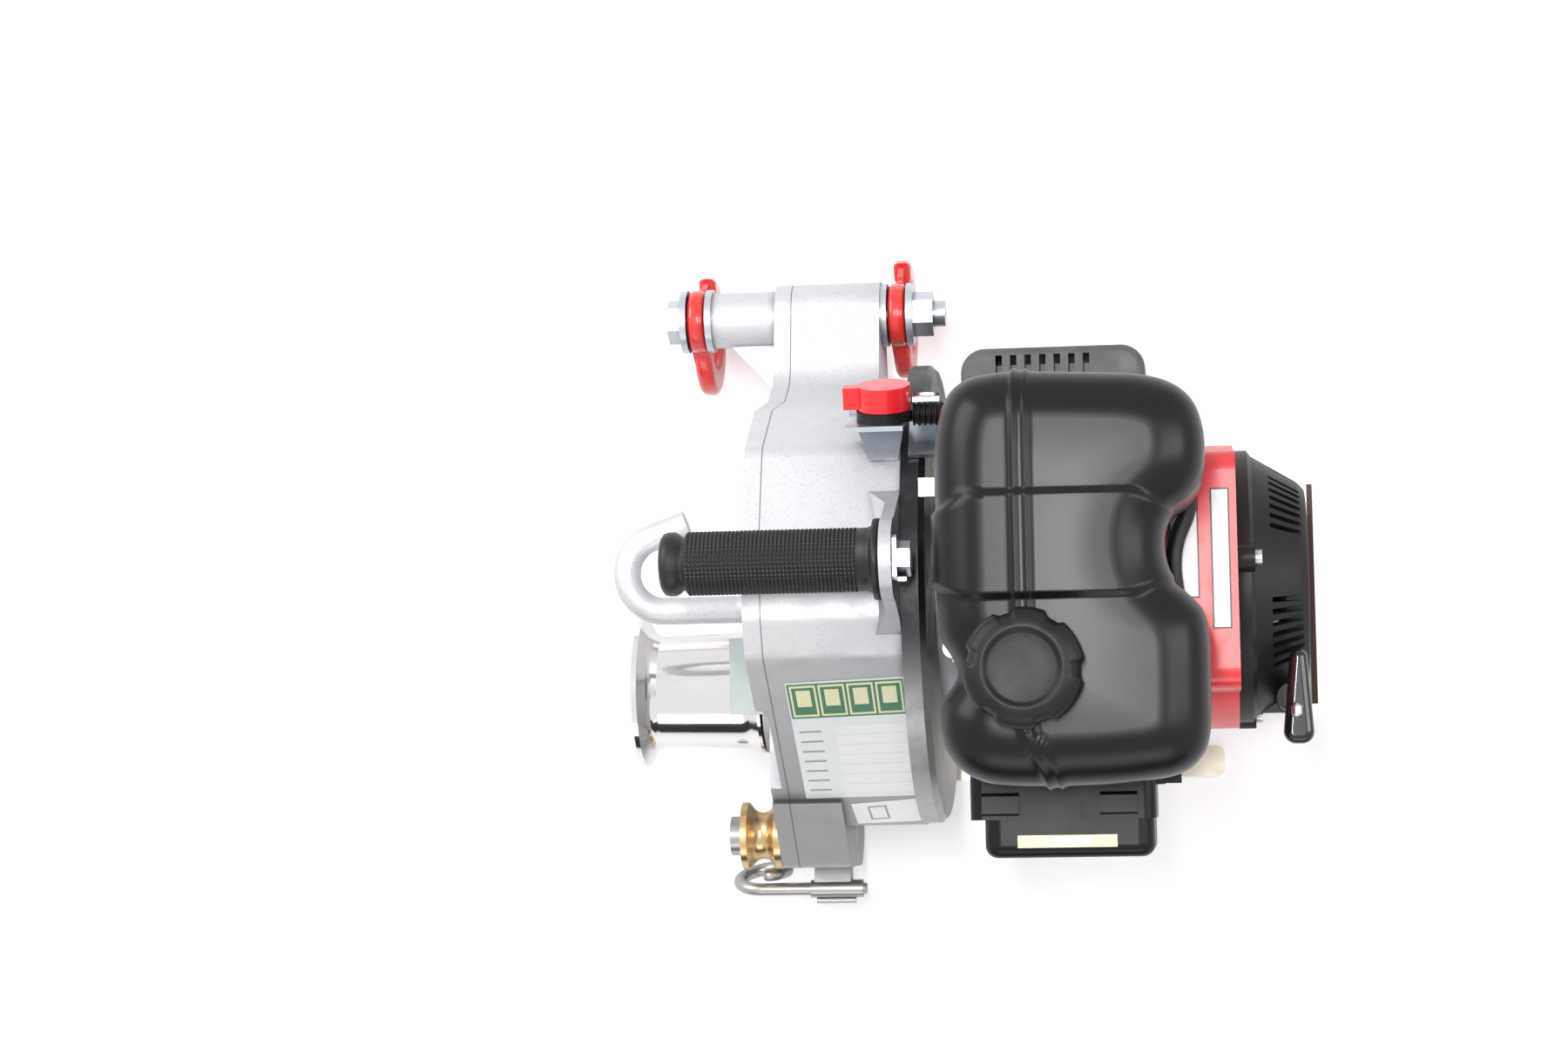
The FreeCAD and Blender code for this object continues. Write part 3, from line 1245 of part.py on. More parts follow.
def fuel_tank():
    """Moulded tank: round lobes, a raised band across the middle and a seam bead from front to rear."""
    body = new_body("fuel_tank")
    left = g.tank_left_x
    waist = g.tank_right_x - g.tank_waist_depth
    front, rear = g.tank_front_y, g.tank_rear_y
    pad_outline(body, "XY_Plane", TANK_BOTTOM, tank_outline(), g.tank_height)
    round_edges(body, g.tank_top_round, lambda e: on_plane(e, "z", TANK_TOP))
    round_edges(body, g.tank_low_round, lambda e: on_plane(e, "z", TANK_BOTTOM))
    band_front, band_rear = g.tank_band_front_y, g.tank_band_rear_y
    inset, band_round = g.tank_band_inset, g.tank_band_round
    band_top = TANK_TOP + g.tank_band_raise
    band_low = TANK_TOP - g.tank_top_round - band_round
    pad_outline(body, "XZ_Plane", -band_rear, [
        (left + inset, band_low), (waist - inset, band_low),
        (waist - inset, band_top, band_round), (left + inset, band_top, band_round)], band_rear - band_front)
    seam = g.tank_seam_raise
    seam_round = g.tank_top_round + seam
    seam_low = TANK_BOTTOM + g.tank_low_round * 2
    seam_slope = g.tank_band_raise + seam
    pad_outline(body, "YZ_Plane", g.tank_seam_x - g.tank_seam_half, [
        (front - seam, seam_low), (rear + seam, seam_low), (rear + seam, TANK_TOP + seam, seam_round),
        (band_rear + seam_slope, TANK_TOP + seam), (band_rear + seam, band_top + seam),
        (band_front - seam, band_top + seam), (band_front - seam_slope, TANK_TOP + seam),
        (front - seam, TANK_TOP + seam, seam_round)], g.tank_seam_half * 2)
    room = g.tank_wall * 3
    room_top = TANK_TOP - g.tank_wall - g.tank_top_round / 3
    cut_outline(body, "XY_Plane", TANK_BOTTOM + g.tank_wall,
                box_corners(left + room, front + room, waist - room, rear - room, room),
                room_top - TANK_BOTTOM - g.tank_wall)
    neck_base = TANK_TOP - g.tank_top_round / 3
    neck_top = TANK_TOP + g.neck_height
    pad_circle(body, "XY_Plane", neck_base, g.cap_x, g.cap_y, g.neck_radius, neck_top - neck_base)
    bore_start = room_top - g.neck_wall
    cut_circle(body, "XY_Plane", bore_start, g.cap_x, g.cap_y, g.neck_radius - g.neck_wall, neck_top - bore_start)
    fuel_cap()


def fuel_cap():
    """Screw cap over the neck, with finger notches and a sunk disc."""
    cap = new_body("fuel_cap")
    low = TANK_TOP + g.cap_lift
    pad_circle(cap, "XY_Plane", low, 0, 0, g.cap_radius, g.cap_height)
    cut_circle(cap, "XY_Plane", low, 0, 0, g.neck_radius + g.cap_clearance, g.neck_height - g.cap_lift + g.cap_clearance)
    notch = new_sketch(cap, "XY_Plane", low)
    add_circle(notch, g.cap_radius + g.cap_notch_radius * 0.3, 0, g.cap_notch_radius)
    first = pocket(cap, notch, g.cap_height)
    turned_copies(cap, first, "Z_Axis", 360, 6)
    cut_circle(cap, "XY_Plane", low + g.cap_height - g.cap_disc_depth, 0, 0, g.cap_inner_radius, g.cap_disc_depth)
    place(cap, g.cap_x, g.cap_y, 0)


def turned_copies(body, feature, role, angle, count):
    """Copies of a feature turned about one of the body's own axes."""
    pattern = body.newObject("PartDesign::PolarPattern", "pattern")
    pattern.Originals = [feature]
    axis = next(item for item in body.Origin.OriginFeatures if item.Role == role)
    pattern.Axis = (axis, [""])
    pattern.Angle = angle
    pattern.Occurrences = count
    body.Tip = pattern
    return pattern


def air_cleaner():
    left, right = g.side_left_x, g.side_right_x
    low, high = SIDE_BOTTOM, SIDE_TOP
    wall = g.plastic_wall
    rear, front = g.air_base_rear_y, g.air_base_front_y
    base_top = high - wall
    base = extruded("air_cleaner_base", "XZ_Plane", -rear, box_corners(left, low, right, base_top, 6), rear - front)
    cut_outline(base, "XZ_Plane", -rear + wall, box_corners(left + wall, low + wall, right - wall, base_top - wall, 4),
                rear - front)
    cut_circle(base, "XZ_Plane", -rear, g.cylinder_x, (low + high) / 2, 9, wall)
    for x in (left + 18, right - 36):
        cut_outline(base, "XY_Plane", base_top - wall * 0.6, box_corners(x, front, x + 18, front + 9), wall)
    cover_left = left + g.cover_inset_left
    cover_right = right - g.cover_inset_right
    cover_low = low - 2
    cover = extruded("air_cleaner_cover", "XZ_Plane", -front, box_corners(cover_left, cover_low, cover_right, high, 8),
                     front - g.air_cover_front_y)
    round_edges(cover, 6, lambda e: on_plane(e, "y", g.air_cover_front_y))
    cut_outline(cover, "XZ_Plane", -front,
                box_corners(cover_left + wall, cover_low + wall, cover_right - wall, high - wall, 5),
                front - g.air_cover_front_y - wall)
    for x in (left + 18, right - 36):
        pad_circle(cover, "YZ_Plane", x, front, cover_low, g.cover_hinge_radius, 18)
    inset = wall + 2
    extruded("air_filter", "XZ_Plane", -rear + wall,
             box_corners(left + inset, low + inset, right - inset, base_top - inset, 4), 26)
    carb = new_body("carburettor")
    start = g.fin_side / 2
    middle_z = (low + high) / 2
    x = g.cylinder_x
    pad_circle(carb, "XZ_Plane", start, x, middle_z, 12, -rear - start)
    pad_outline(carb, "XZ_Plane", start + 12, box_corners(x - 17, middle_z - 24, x + 17, middle_z + 16, 4), 20)
    cut_circle(carb, "XZ_Plane", start, x, middle_z, 8, -rear - start)


def muffler_set():
    """Muffler with two stand-offs, and its sheet guard, open to the front and below, with slots over the top."""
    left, right = g.side_left_x, g.side_right_x
    low, high = SIDE_BOTTOM, SIDE_TOP
    near, rear = g.guard_front_y, g.guard_rear_y
    sheet_wall = g.sheet_thick
    back = rear - sheet_wall - g.guard_stand
    side = sheet_wall + g.guard_stand
    muffler = new_body("muffler")
    pad_outline(muffler, "XZ_Plane", -back, box_corners(left + side, low + side, right - side, high - side, 10), back - near)
    pad_circle(muffler, "XZ_Plane", -near, g.cylinder_x, high - 20, 10, near - g.fin_side / 2)
    for x in (left + side * 2, right - side * 2):
        pad_circle(muffler, "XZ_Plane", -back - g.guard_stand, x, (low + high) / 2, 5, g.guard_stand)
    guard = new_body("muffler_guard")
    corner = g.guard_corner
    pad_outline(guard, "XY_Plane", low, [(left, near), (right, near), (right, rear, corner), (left, rear, corner)],
                high - low)
    round_edges(guard, g.guard_edge, lambda e: on_plane(e, "z", high) and not on_plane(e, "y", near))
    inner = corner - sheet_wall
    cut_outline(guard, "XY_Plane", low, [
        (left + sheet_wall, near - 1), (right - sheet_wall, near - 1),
        (right - sheet_wall, rear - sheet_wall, inner), (left + sheet_wall, rear - sheet_wall, inner)],
        high - sheet_wall - low)
    margin = g.guard_corner
    for i in range(7):
        x = left + g.guard_slot_start + g.guard_slot_pitch * i
        far = x + g.guard_slot_width
        cut_outline(guard, "XY_Plane", high - sheet_wall, box_corners(x, near + margin / 2, far, rear - g.guard_edge),
                    sheet_wall)
        cut_outline(guard, "XZ_Plane", -rear, box_corners(x, low + margin, far, high - g.guard_edge), sheet_wall)
    for i in range(3):
        y = rear - corner - g.guard_slot_pitch * (i + 1)
        cut_outline(guard, "YZ_Plane", left, box_corners(y, low + margin, y + g.guard_slot_width, high - g.guard_edge),
                    sheet_wall)


def cooling_slots(starter, bolt_angles, start, base, face):
    """A group of slots on each side of every bolt, cut along the cone's slope."""
    step = float(g.slot_step)
    count = 7
    for angle in bolt_angles:
        for side in (-1, 1):
            first_angle = angle + side * 18
            sketch = new_sketch(starter, "YZ_Plane", start)
            turn = math.radians(first_angle)
            across = (round(-math.sin(turn), 6), round(math.cos(turn), 6))
            along = (round(math.cos(turn), 6), round(math.sin(turn), 6))
            half = g.slot_width / 2
            corners = []
            for radius, way in ((face + 3, -1), (base - 3, -1), (base - 3, 1), (face + 3, 1)):
                corners.append((radius * along[0] + half * (way * across[0]), radius * along[1] + half * (way * across[1])))
            add_outline(sketch, corners)
            first = pocket(starter, sketch, g.starter_depth)
            turned_copies(starter, first, "X_Axis", side * step * (count - 1), count)


def shroud_and_starter():
    z = g.crank_height
    left, right = g.block_length, SHROUD_RIGHT
    r = g.shroud_radius
    wall = g.plastic_wall
    shroud = new_body("fan_shroud")
    pad_circle(shroud, "YZ_Plane", left, 0, z, r, right - left)
    pad_outline(shroud, "YZ_Plane", left, box_corners(-56, z, 60, SHROUD_TOP, 10), right - left)
    cut_circle(shroud, "YZ_Plane", left, 0, z, r - wall, right - left - wall)
    cut_outline(shroud, "YZ_Plane", left, box_corners(-56 + wall, z, 60 - wall, SHROUD_TOP - wall, 8), right - left - wall)
    cut_circle(shroud, "YZ_Plane", left, 0, z, g.fan_radius - 8, right - left)
    starter = new_body("starter_cover")
    flange = g.starter_flange_thick
    profile = new_sketch(starter, "XZ_Plane")
    ring_out, base, face = g.starter_flange_radius, g.cone_base_radius, g.cone_face_radius
    face_x = STARTER_FACE
    add_outline(profile, [(right, ring_out), (right + flange - 2, ring_out), (right + flange, base + 2), (face_x - 4, face + 4, 4),
                          (face_x, face, 3), (face_x, 0), (face_x - wall, 0), (face_x - wall, face - wall),
                          (right + flange - wall, base - wall), (right, base - wall)])
    revolve(starter, profile, "H_Axis")
    bolt_angles = [float(g.starter_bolt_angle) + 120 * i for i in range(3)]
    bolt_ring = ring_out + 1
    for angle in bolt_angles:
        ear_y = bolt_ring * round(math.cos(math.radians(angle)), 6)
        ear_z = bolt_ring * round(math.sin(math.radians(angle)), 6)
        pad_circle(starter, "YZ_Plane", right, ear_y, ear_z, 7, flange)
    cooling_slots(starter, bolt_angles, right + flange - 2, base, face)
    pad_circle(starter, "XY_Plane", 0, PULL_X - 3, g.pull_y, 7, PULL_Z - g.pull_height / 2 - z - 0.3)
    pad_outline(starter, "XY_Plane", 0, box_corners(right + flange - 3, g.pull_y - 7, PULL_X - 3, g.pull_y + 12), 8)
    pad_circle(starter, "YZ_Plane", face_x - 16, 0, 0, 5, 14)
    place(starter, 0, 0, z)
    screws = []
    for angle in bolt_angles:
        y = float(bolt_ring) * math.cos(math.radians(angle))
        height = float(z) + float(bolt_ring) * math.sin(math.radians(angle))
        screws.append(rod(vec(right + flange, y, height), X_WAY, 4, 3.5))
    shaped("starter_bolts", Part.makeCompound(screws))
    pulley_x = face_x - wall - g.pulley_thick - 1.5
    pr = g.pulley_radius
    turned("recoil_pulley", "X", [(pulley_x, 5 + g.shaft_gap), (pulley_x, pr), (pulley_x + 3, pr), (pulley_x + 4, pr - 6),
                                  (pulley_x + g.pulley_thick - 4, pr - 6), (pulley_x + g.pulley_thick - 3, pr),
                                  (pulley_x + g.pulley_thick, pr), (pulley_x + g.pulley_thick, 5 + g.shaft_gap)], 0, 0, z)
    half_length, half_width, height = g.pull_length / 2, g.pull_width / 2, g.pull_height
    front, rear = g.pull_y - half_length, g.pull_y + half_length
    grip = extruded("starter_grip", "XY_Plane", PULL_Z - height / 2,
                    [(PULL_X - half_width, front, 6), (PULL_X + half_width, front, 6),
                     (PULL_X + half_width * 0.6, rear, 4), (PULL_X - half_width * 0.4, rear, 4)], height)
    doc.recompute()
    top = float(PULL_Z + height / 2)
    round_edges(grip, 4, lambda e: on_plane(e, "z", top))


def fuel_hose():
    """From the carburettor's side, up to the tank's underside behind the shroud's top."""
    route = [(79, -64, 196), (104, -64, 196), (112, -64, 212), (116, -61, 243), (125, -40, 243), (119, 10, 243),
             (131, 36, 243), (122, 58, 262)]
    points = [vec(*p) for p in route]
    edges = []
    at = points[0]
    for i in range(1, len(points) - 1):
        before, corner, after = points[i - 1], points[i], points[i + 1]
        came = corner - before
        goes = after - corner
        turn = came.getAngle(goes)
        reach = 0.45 * min(came.Length, goes.Length)
        u, v = came.normalize(), goes.normalize()
        start, end = corner - u * reach, corner + v * reach
        bisector = (v - u).normalize()
        radius = reach / math.tan(turn / 2)
        centre_gap = radius / math.cos(turn / 2)
        middle = corner + bisector * (centre_gap - radius)
        edges.append(Part.LineSegment(at, start).toShape())
        edges.append(Part.Arc(start, middle, end).toShape())
        at = end
    edges.append(Part.LineSegment(at, points[-1]).toShape())
    path = Part.Wire(edges)
    way = (points[1] - points[0]).normalize()
    section = Part.Wire(Part.makeCircle(float(g.hose_radius), points[0], way))
    pipe = path.makePipeShell([section], True, False)
    below_tank = Part.makeBox(200, 300, float(TANK_BOTTOM), vec(0, -150, 0))
    shaped("fuel_hose", pipe.common(below_tank))


def switch_set():
    """Rotary stop switch on its bracket, facing the rear and up, with the conduit and its own bracket."""
    tilt = float(g.switch_tilt)
    x, y, z = float(g.switch_x), float(g.switch_y), float(SWITCH_Z)
    way = vec(0, math.cos(math.radians(tilt)), math.sin(math.radians(tilt)))
    start = vec(x, y, z)
    length = float(g.switch_body_length)
    body = rod(start, way, g.switch_body_radius, length)
    stem = rod(start + way * length, way, g.knob_stem_radius, float(g.knob_gap) + 6)
    shaped("switch_body", body.fuse(stem).removeSplitter())
    seat = start + way * (length + float(g.knob_gap))
    stem_room = g.knob_stem_radius + g.shaft_gap
    knob_radius, wing_wide = float(g.knob_radius), float(g.knob_wing_wide)
    wing_reach = knob_radius + float(g.knob_wing_out)
    wing = Part.makeBox(wing_reach, float(g.knob_thick) - 1, wing_wide,
                        vec(x - wing_reach, y + length + float(g.knob_gap) + 0.5, z - wing_wide / 2))
    wing.rotate(start, X_WAY, tilt)
    knob = rod(seat, way, knob_radius, g.knob_thick).fuse(wing)
    knob = knob.cut(rod(seat, way, stem_room, 6 + float(g.shaft_gap))).removeSplitter()
    shaped("stop_switch_knob", knob)
    thick = float(g.bracket_thick)
    right = float(HOUSING_RIGHT) + 3
    left = right - 29
    plate = Part.makeBox(right - left, thick, 33, vec(left, y - thick, z - 17))
    plate.rotate(start, X_WAY, tilt)
    foot_y = float(g.switch_foot_y)
    foot_length = (y - foot_y + 6) / math.cos(math.radians(roof_slope()))
    foot_z = housing_roof(foot_y)
    corners = [vec(left + 11, foot_y, foot_z), vec(right - 3.8, foot_y, foot_z),
               vec(right, foot_y + foot_length, foot_z), vec(left, foot_y + foot_length, foot_z)]
    foot = Part.Face(Part.makePolygon(corners + corners[:1])).extrude(Z_WAY * thick)
    foot.rotate(corners[0], X_WAY, -roof_slope())
    shaped("switch_bracket", foot.fuse(plate).removeSplitter().cut(body))
    conduit = start + way * 2
    conduit_x = x + float(g.switch_body_radius)
    conduit_end = float(g.tank_left_x) + 6
    conduit_radius = float(g.conduit_radius)
    shaped("switch_conduit", rod(vec(conduit_x, conduit.y, conduit.z), X_WAY, conduit_radius, conduit_end - conduit_x))
    lean = 36.0
    rim = float(g.bell_radius)
    touch = vec(0, rim * math.sin(math.radians(lean)), float(g.crank_height) + rim * math.cos(math.radians(lean)))
    foot = Part.makeBox(16, 22, thick, touch + vec(HOUSING_RIGHT + 4, -11, 0))
    foot.rotate(touch, X_WAY, -lean)
    rear = conduit.y + conduit_radius
    shelf = Part.makeBox(13, rear + thick - touch.y - 9, thick, vec(-5, touch.y + 9, touch.z - 7))
    post = Part.makeBox(13, thick, conduit.z - touch.z + 7, vec(-5, rear, touch.z - 7))
    tag = rod(vec(1.5, rear + thick, conduit.z - 2), Y_WAY, 6.5, 1.5)
    shaped("conduit_bracket", foot.fuse([shelf, post, tag]).removeSplitter())


def housing_roof(y):
    """The height of the housing's rear roof, which slopes from its flat top down to the rear."""
    return float(HOUSING_TOP) - (y - 22) * 18 / 46


def roof_slope():
    return math.degrees(math.atan2(18, 46))


def levers():
    thick = float(g.lever_thick)
    gap = float(g.shaft_gap)
    pivot = vec(g.throttle_x, g.throttle_y, THROTTLE_Z)
    post = rod(pivot - vec(0, 0, 40), Z_WAY, 3.0, 44)
    arm = Part.makeBox(26, 9, thick, pivot + vec(-26, -4.5, 0)).fuse(rod(pivot, Z_WAY, 7, thick))
    arm = arm.cut(rod(pivot, Z_WAY, 3.0 + gap, thick)).removeSplitter()
    shaped("throttle_lever", arm)
    shaped("throttle_post", post)
    start = vec(g.side_right_x + g.cap_clearance, -96, SIDE_BOTTOM + 32)
    hub = rod(start, X_WAY, g.choke_pivot_radius, thick + 2)
    plate = Part.makeBox(thick, 10, 30, start + vec(0, -5, 0))
    knob = Part.makeBox(10, 9, 12, start + vec(thick, -4.5, 16))
    shaped("choke_lever", plate.fuse([hub, knob]).removeSplitter())


def base_plate():
    body = new_body("base_plate")
    half = g.plate_half_width
    tongue = g.tongue_half_width
    right = g.plate_right_x
    far = g.tongue_right_x
    pad_outline(body, "XY_Plane", 0, [(g.plate_start_x, -half, 8), (right, -half, 12), (right, -tongue, 4), (far, -tongue),
                                      (far, tongue), (right, tongue, 4), (right, half, 12), (g.plate_start_x, half, 8)],
                g.plate_thick)
    pad_outline(body, "XY_Plane", 0, box_corners(far - g.plate_thick, -tongue, far, tongue), g.plate_end_high)
    pad_outline(body, "XY_Plane", 0, box_corners(right - g.foot_width, -half, g.foot_right_x, g.foot_width - half, 5),
                g.plate_thick)
    for x in (24, 120):
        for side in (-1, 1):
            cut_circle(body, "XY_Plane", 0, x, (half - 12) * side, g.plate_hole_radius, g.plate_thick)
    strip = new_body("edge_strip")
    pad_outline(strip, "XY_Plane", g.plate_end_high - 12, box_corners(far, -tongue + 2, far + g.strip_thick, tongue - 2), 14)


for make in (gear_housing, housing_cover, gear_train, shaft_bearings, capstan_drum, rope_guard, roller_set, flat_washers,
             anchor_bolt_set, anchor_hooks, pigtail_set, handle_set, clutch_bell, cover_bolts, engine_block, cylinder_set,
             crank_set, fuel_tank, air_cleaner, muffler_set, shroud_and_starter, fuel_hose, switch_set, levers, base_plate):
    make()
doc.recompute()

for item in doc.Objects:
    if "Invalid" in item.State or "Error" in item.State:
        raise ValueError(f"{item.Name} of {item.Label} failed: {item.State}")
for feature, base in POCKETS:
    if feature.Shape.Volume > base.Shape.Volume - 0.01:
        raise ValueError(f"{feature.Name} cuts nothing")
os.makedirs("parts", exist_ok=True)
nodes = [item for item in doc.Objects if item.TypeId in ("PartDesign::Body", "Part::Feature")]
for item in nodes:
    shape = item.Shape
    if shape.isNull() or not shape.isValid():
        raise ValueError(f"{item.Label} has no valid shape")
    shape.exportStep(f"parts/{item.Label}.step")
print(len(nodes), "sub-parts")
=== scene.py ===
import math

import bmesh
import bpy
from mathutils import Matrix, Vector
from mathutils.bvhtree import BVHTree


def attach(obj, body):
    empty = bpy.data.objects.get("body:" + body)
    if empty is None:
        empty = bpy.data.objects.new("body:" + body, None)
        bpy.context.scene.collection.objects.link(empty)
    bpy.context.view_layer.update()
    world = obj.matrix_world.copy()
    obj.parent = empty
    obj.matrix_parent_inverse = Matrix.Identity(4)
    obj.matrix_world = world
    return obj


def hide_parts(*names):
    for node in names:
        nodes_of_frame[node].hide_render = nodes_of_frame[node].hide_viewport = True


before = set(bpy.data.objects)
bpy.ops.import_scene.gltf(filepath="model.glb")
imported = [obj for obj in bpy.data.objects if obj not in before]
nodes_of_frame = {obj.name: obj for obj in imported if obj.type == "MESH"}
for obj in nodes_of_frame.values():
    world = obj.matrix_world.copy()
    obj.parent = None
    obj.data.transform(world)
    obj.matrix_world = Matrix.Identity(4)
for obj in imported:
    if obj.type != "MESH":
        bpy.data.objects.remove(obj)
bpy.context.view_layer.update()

MM = 0.001
FULL_TURN = 2 * math.pi

# The picture's size, the camera's focal length and the point straight below it, in the picture's pixels.
PIXELS_WIDE = 1800.0
HALF_HIGH = 600.5
FOCAL = 3740.0
BELOW_CAMERA = (1380.0, 900.0)
CAMERA_PLACE = (0.131124, -0.101115, 1.813355)
CAMERA_TWIST = 1.25
SENSOR = 36.0


# Camera: almost straight above, turned a little so that the vertical edges lean to the upper left.
def set_camera():
    plumb = Vector((BELOW_CAMERA[0] - PIXELS_WIDE / 2, HALF_HIGH - BELOW_CAMERA[1], -FOCAL)).normalized()
    lean = Vector((0.0, 0.0, -1.0)).rotation_difference(plumb).to_matrix()
    turn = lean @ Matrix.Rotation(math.radians(CAMERA_TWIST), 3, "Z")
    lens = bpy.data.cameras.new("camera")
    lens.lens = FOCAL / PIXELS_WIDE * SENSOR
    lens.sensor_width = SENSOR
    lens.clip_end = 20.0
    eye = bpy.data.objects.new("camera", lens)
    bpy.context.scene.collection.objects.link(eye)
    eye.matrix_world = Matrix.Translation(CAMERA_PLACE) @ turn.transposed().to_4x4()
    bpy.context.scene.camera = eye


def soft_light(name, place, aim, width, height, power):
    lamp = bpy.data.lights.new(name, "AREA")
    lamp.shape = "RECTANGLE"
    lamp.size = width
    lamp.size_y = height
    lamp.energy = power
    holder = bpy.data.objects.new(name, lamp)
    holder.location = place
    holder.rotation_euler = (Vector(aim) - Vector(place)).to_track_quat("-Z", "Y").to_euler()
    bpy.context.scene.collection.objects.link(holder)
    holder.visible_camera = False


def set_light():
    soft_light("softbox_left", (-1.5, 0.9, 1.3), (0.0, 0.0, 0.15), 1.3, 1.3, 24.0)
    soft_light("softbox_right", (1.35, 0.15, 1.5), (0.0, 0.0, 0.2), 0.5, 1.6, 12.0)
    soft_light("softbox_front", (0.1, -1.9, 1.1), (0.0, 0.0, 0.15), 1.8, 0.8, 8.0)
    soft_light("strip_above", (0.0, 0.14, 2.1), (0.02, 0.05, 0.2), 0.1, 0.62, 17.0)
    world = bpy.data.worlds.new("studio")
    world.use_nodes = True
    bpy.context.scene.world = world
    tree = world.node_tree
    tree.nodes.clear()
    out = tree.nodes.new("ShaderNodeOutputWorld")
    seen = tree.nodes.new("ShaderNodeLightPath")
    direct = tree.nodes.new("ShaderNodeMath")
    direct.operation = "MAXIMUM"
    either = tree.nodes.new("ShaderNodeMath")
    either.operation = "MAXIMUM"
    tree.links.new(seen.outputs["Is Camera Ray"], direct.inputs[0])
    tree.links.new(seen.outputs["Is Glossy Ray"], direct.inputs[1])
    tree.links.new(direct.outputs[0], either.inputs[0])
    tree.links.new(seen.outputs["Is Transmission Ray"], either.inputs[1])
    strength = tree.nodes.new("ShaderNodeMapRange")
    strength.inputs["To Min"].default_value = 0.55
    strength.inputs["To Max"].default_value = 1.0
    tree.links.new(either.outputs[0], strength.inputs["Value"])
    shade = tree.nodes.new("ShaderNodeBackground")
    shade.inputs["Color"].default_value = (1.0, 1.0, 1.0, 1.0)
    tree.links.new(strength.outputs["Result"], shade.inputs["Strength"])
    tree.links.new(shade.outputs[0], out.inputs["Surface"])
    bpy.context.scene.view_settings.view_transform = "Standard"


def set_floor():
    bpy.ops.mesh.primitive_plane_add(size=12.0, location=(0.0, 0.0, -0.0005))
    floor = bpy.context.object
    floor.name = "floor"
    material = bpy.data.materials.new("studio_floor")
    material.use_nodes = True
    tree = material.node_tree
    shader = tree.nodes["Principled BSDF"]
    shader.inputs["Base Color"].default_value = (0.86, 0.86, 0.87, 1.0)
    shader.inputs["Roughness"].default_value = 0.9
    shader.inputs["Specular IOR Level"].default_value = 0.1
    seen = tree.nodes.new("ShaderNodeLightPath")
    glow = tree.nodes.new("ShaderNodeEmission")
    glow.inputs["Strength"].default_value = 0.3
    clear = tree.nodes.new("ShaderNodeEmission")
    clear.inputs["Strength"].default_value = 0.0
    pick = tree.nodes.new("ShaderNodeMixShader")
    total = tree.nodes.new("ShaderNodeAddShader")
    tree.links.new(seen.outputs["Is Camera Ray"], pick.inputs[0])
    tree.links.new(clear.outputs[0], pick.inputs[1])
    tree.links.new(glow.outputs[0], pick.inputs[2])
    tree.links.new(shader.outputs[0], total.inputs[0])
    tree.links.new(pick.outputs[0], total.inputs[1])
    tree.links.new(total.outputs[0], tree.nodes["Material Output"].inputs["Surface"])
    floor.data.materials.append(material)


def dark_flag():
    """A black card in front, out of the picture, which gives the polished drum its dark bands."""
    mesh = bpy.data.meshes.new("dark_flag")
    wide, far, low, high, thick = 0.9, -0.95, 0.0, 0.4, 0.004
    outline = ((-wide, low), (wide, low), (wide, high), (-wide, high))
    corners = [(x, y, z) for y in (far, far - thick) for x, z in outline]
    sides = [(0, 1, 2, 3), (7, 6, 5, 4), (0, 4, 5, 1), (1, 5, 6, 2), (2, 6, 7, 3), (3, 7, 4, 0)]
    mesh.from_pydata(corners, [], sides)
    card = bpy.data.objects.new("dark_flag", mesh)
    bpy.context.scene.collection.objects.link(card)
    mesh.materials.append(Finish("flag_cloth", (0.01, 0.01, 0.01), 0.9).grain(0.2).done())
    card.visible_camera = False


# Shared effects. Each group gives values over the surface and is placed in the materials with its own numbers.
def new_group(name, inputs, outputs):
    group = bpy.data.node_groups.new(name, "ShaderNodeTree")
    for label, kind, value in inputs:
        socket = group.interface.new_socket(label, in_out="INPUT", socket_type=kind)
        if value is not None:
            socket.default_value = value
    for label, kind in outputs:
        group.interface.new_socket(label, in_out="OUTPUT", socket_type=kind)
    return group, group.nodes.new("NodeGroupInput"), group.nodes.new("NodeGroupOutput")


def grain_group():
    """Two sizes of grain in one height, for castings, paint and moulded skins."""
    group, given, gives = new_group("surface_grain", [
        ("Fine Scale", "NodeSocketFloat", 900.0), ("Coarse Scale", "NodeSocketFloat", 120.0),
        ("Coarse Share", "NodeSocketFloat", 0.5)], [("Height", "NodeSocketFloat")])
    where = group.nodes.new("ShaderNodeTexCoord")
    fine = group.nodes.new("ShaderNodeTexNoise")
    coarse = group.nodes.new("ShaderNodeTexNoise")
    fine.inputs["Detail"].default_value = 2.0
    coarse.inputs["Detail"].default_value = 4.0
    mix = group.nodes.new("ShaderNodeMix")
    link = group.links.new
    for noise, label in ((fine, "Fine Scale"), (coarse, "Coarse Scale")):
        link(where.outputs["Object"], noise.inputs["Vector"])
        link(given.outputs[label], noise.inputs["Scale"])
    link(given.outputs["Coarse Share"], mix.inputs["Factor"])
    link(fine.outputs["Fac"], mix.inputs["A"])
    link(coarse.outputs["Fac"], mix.inputs["B"])
    link(mix.outputs["Result"], gives.inputs["Height"])
    return group


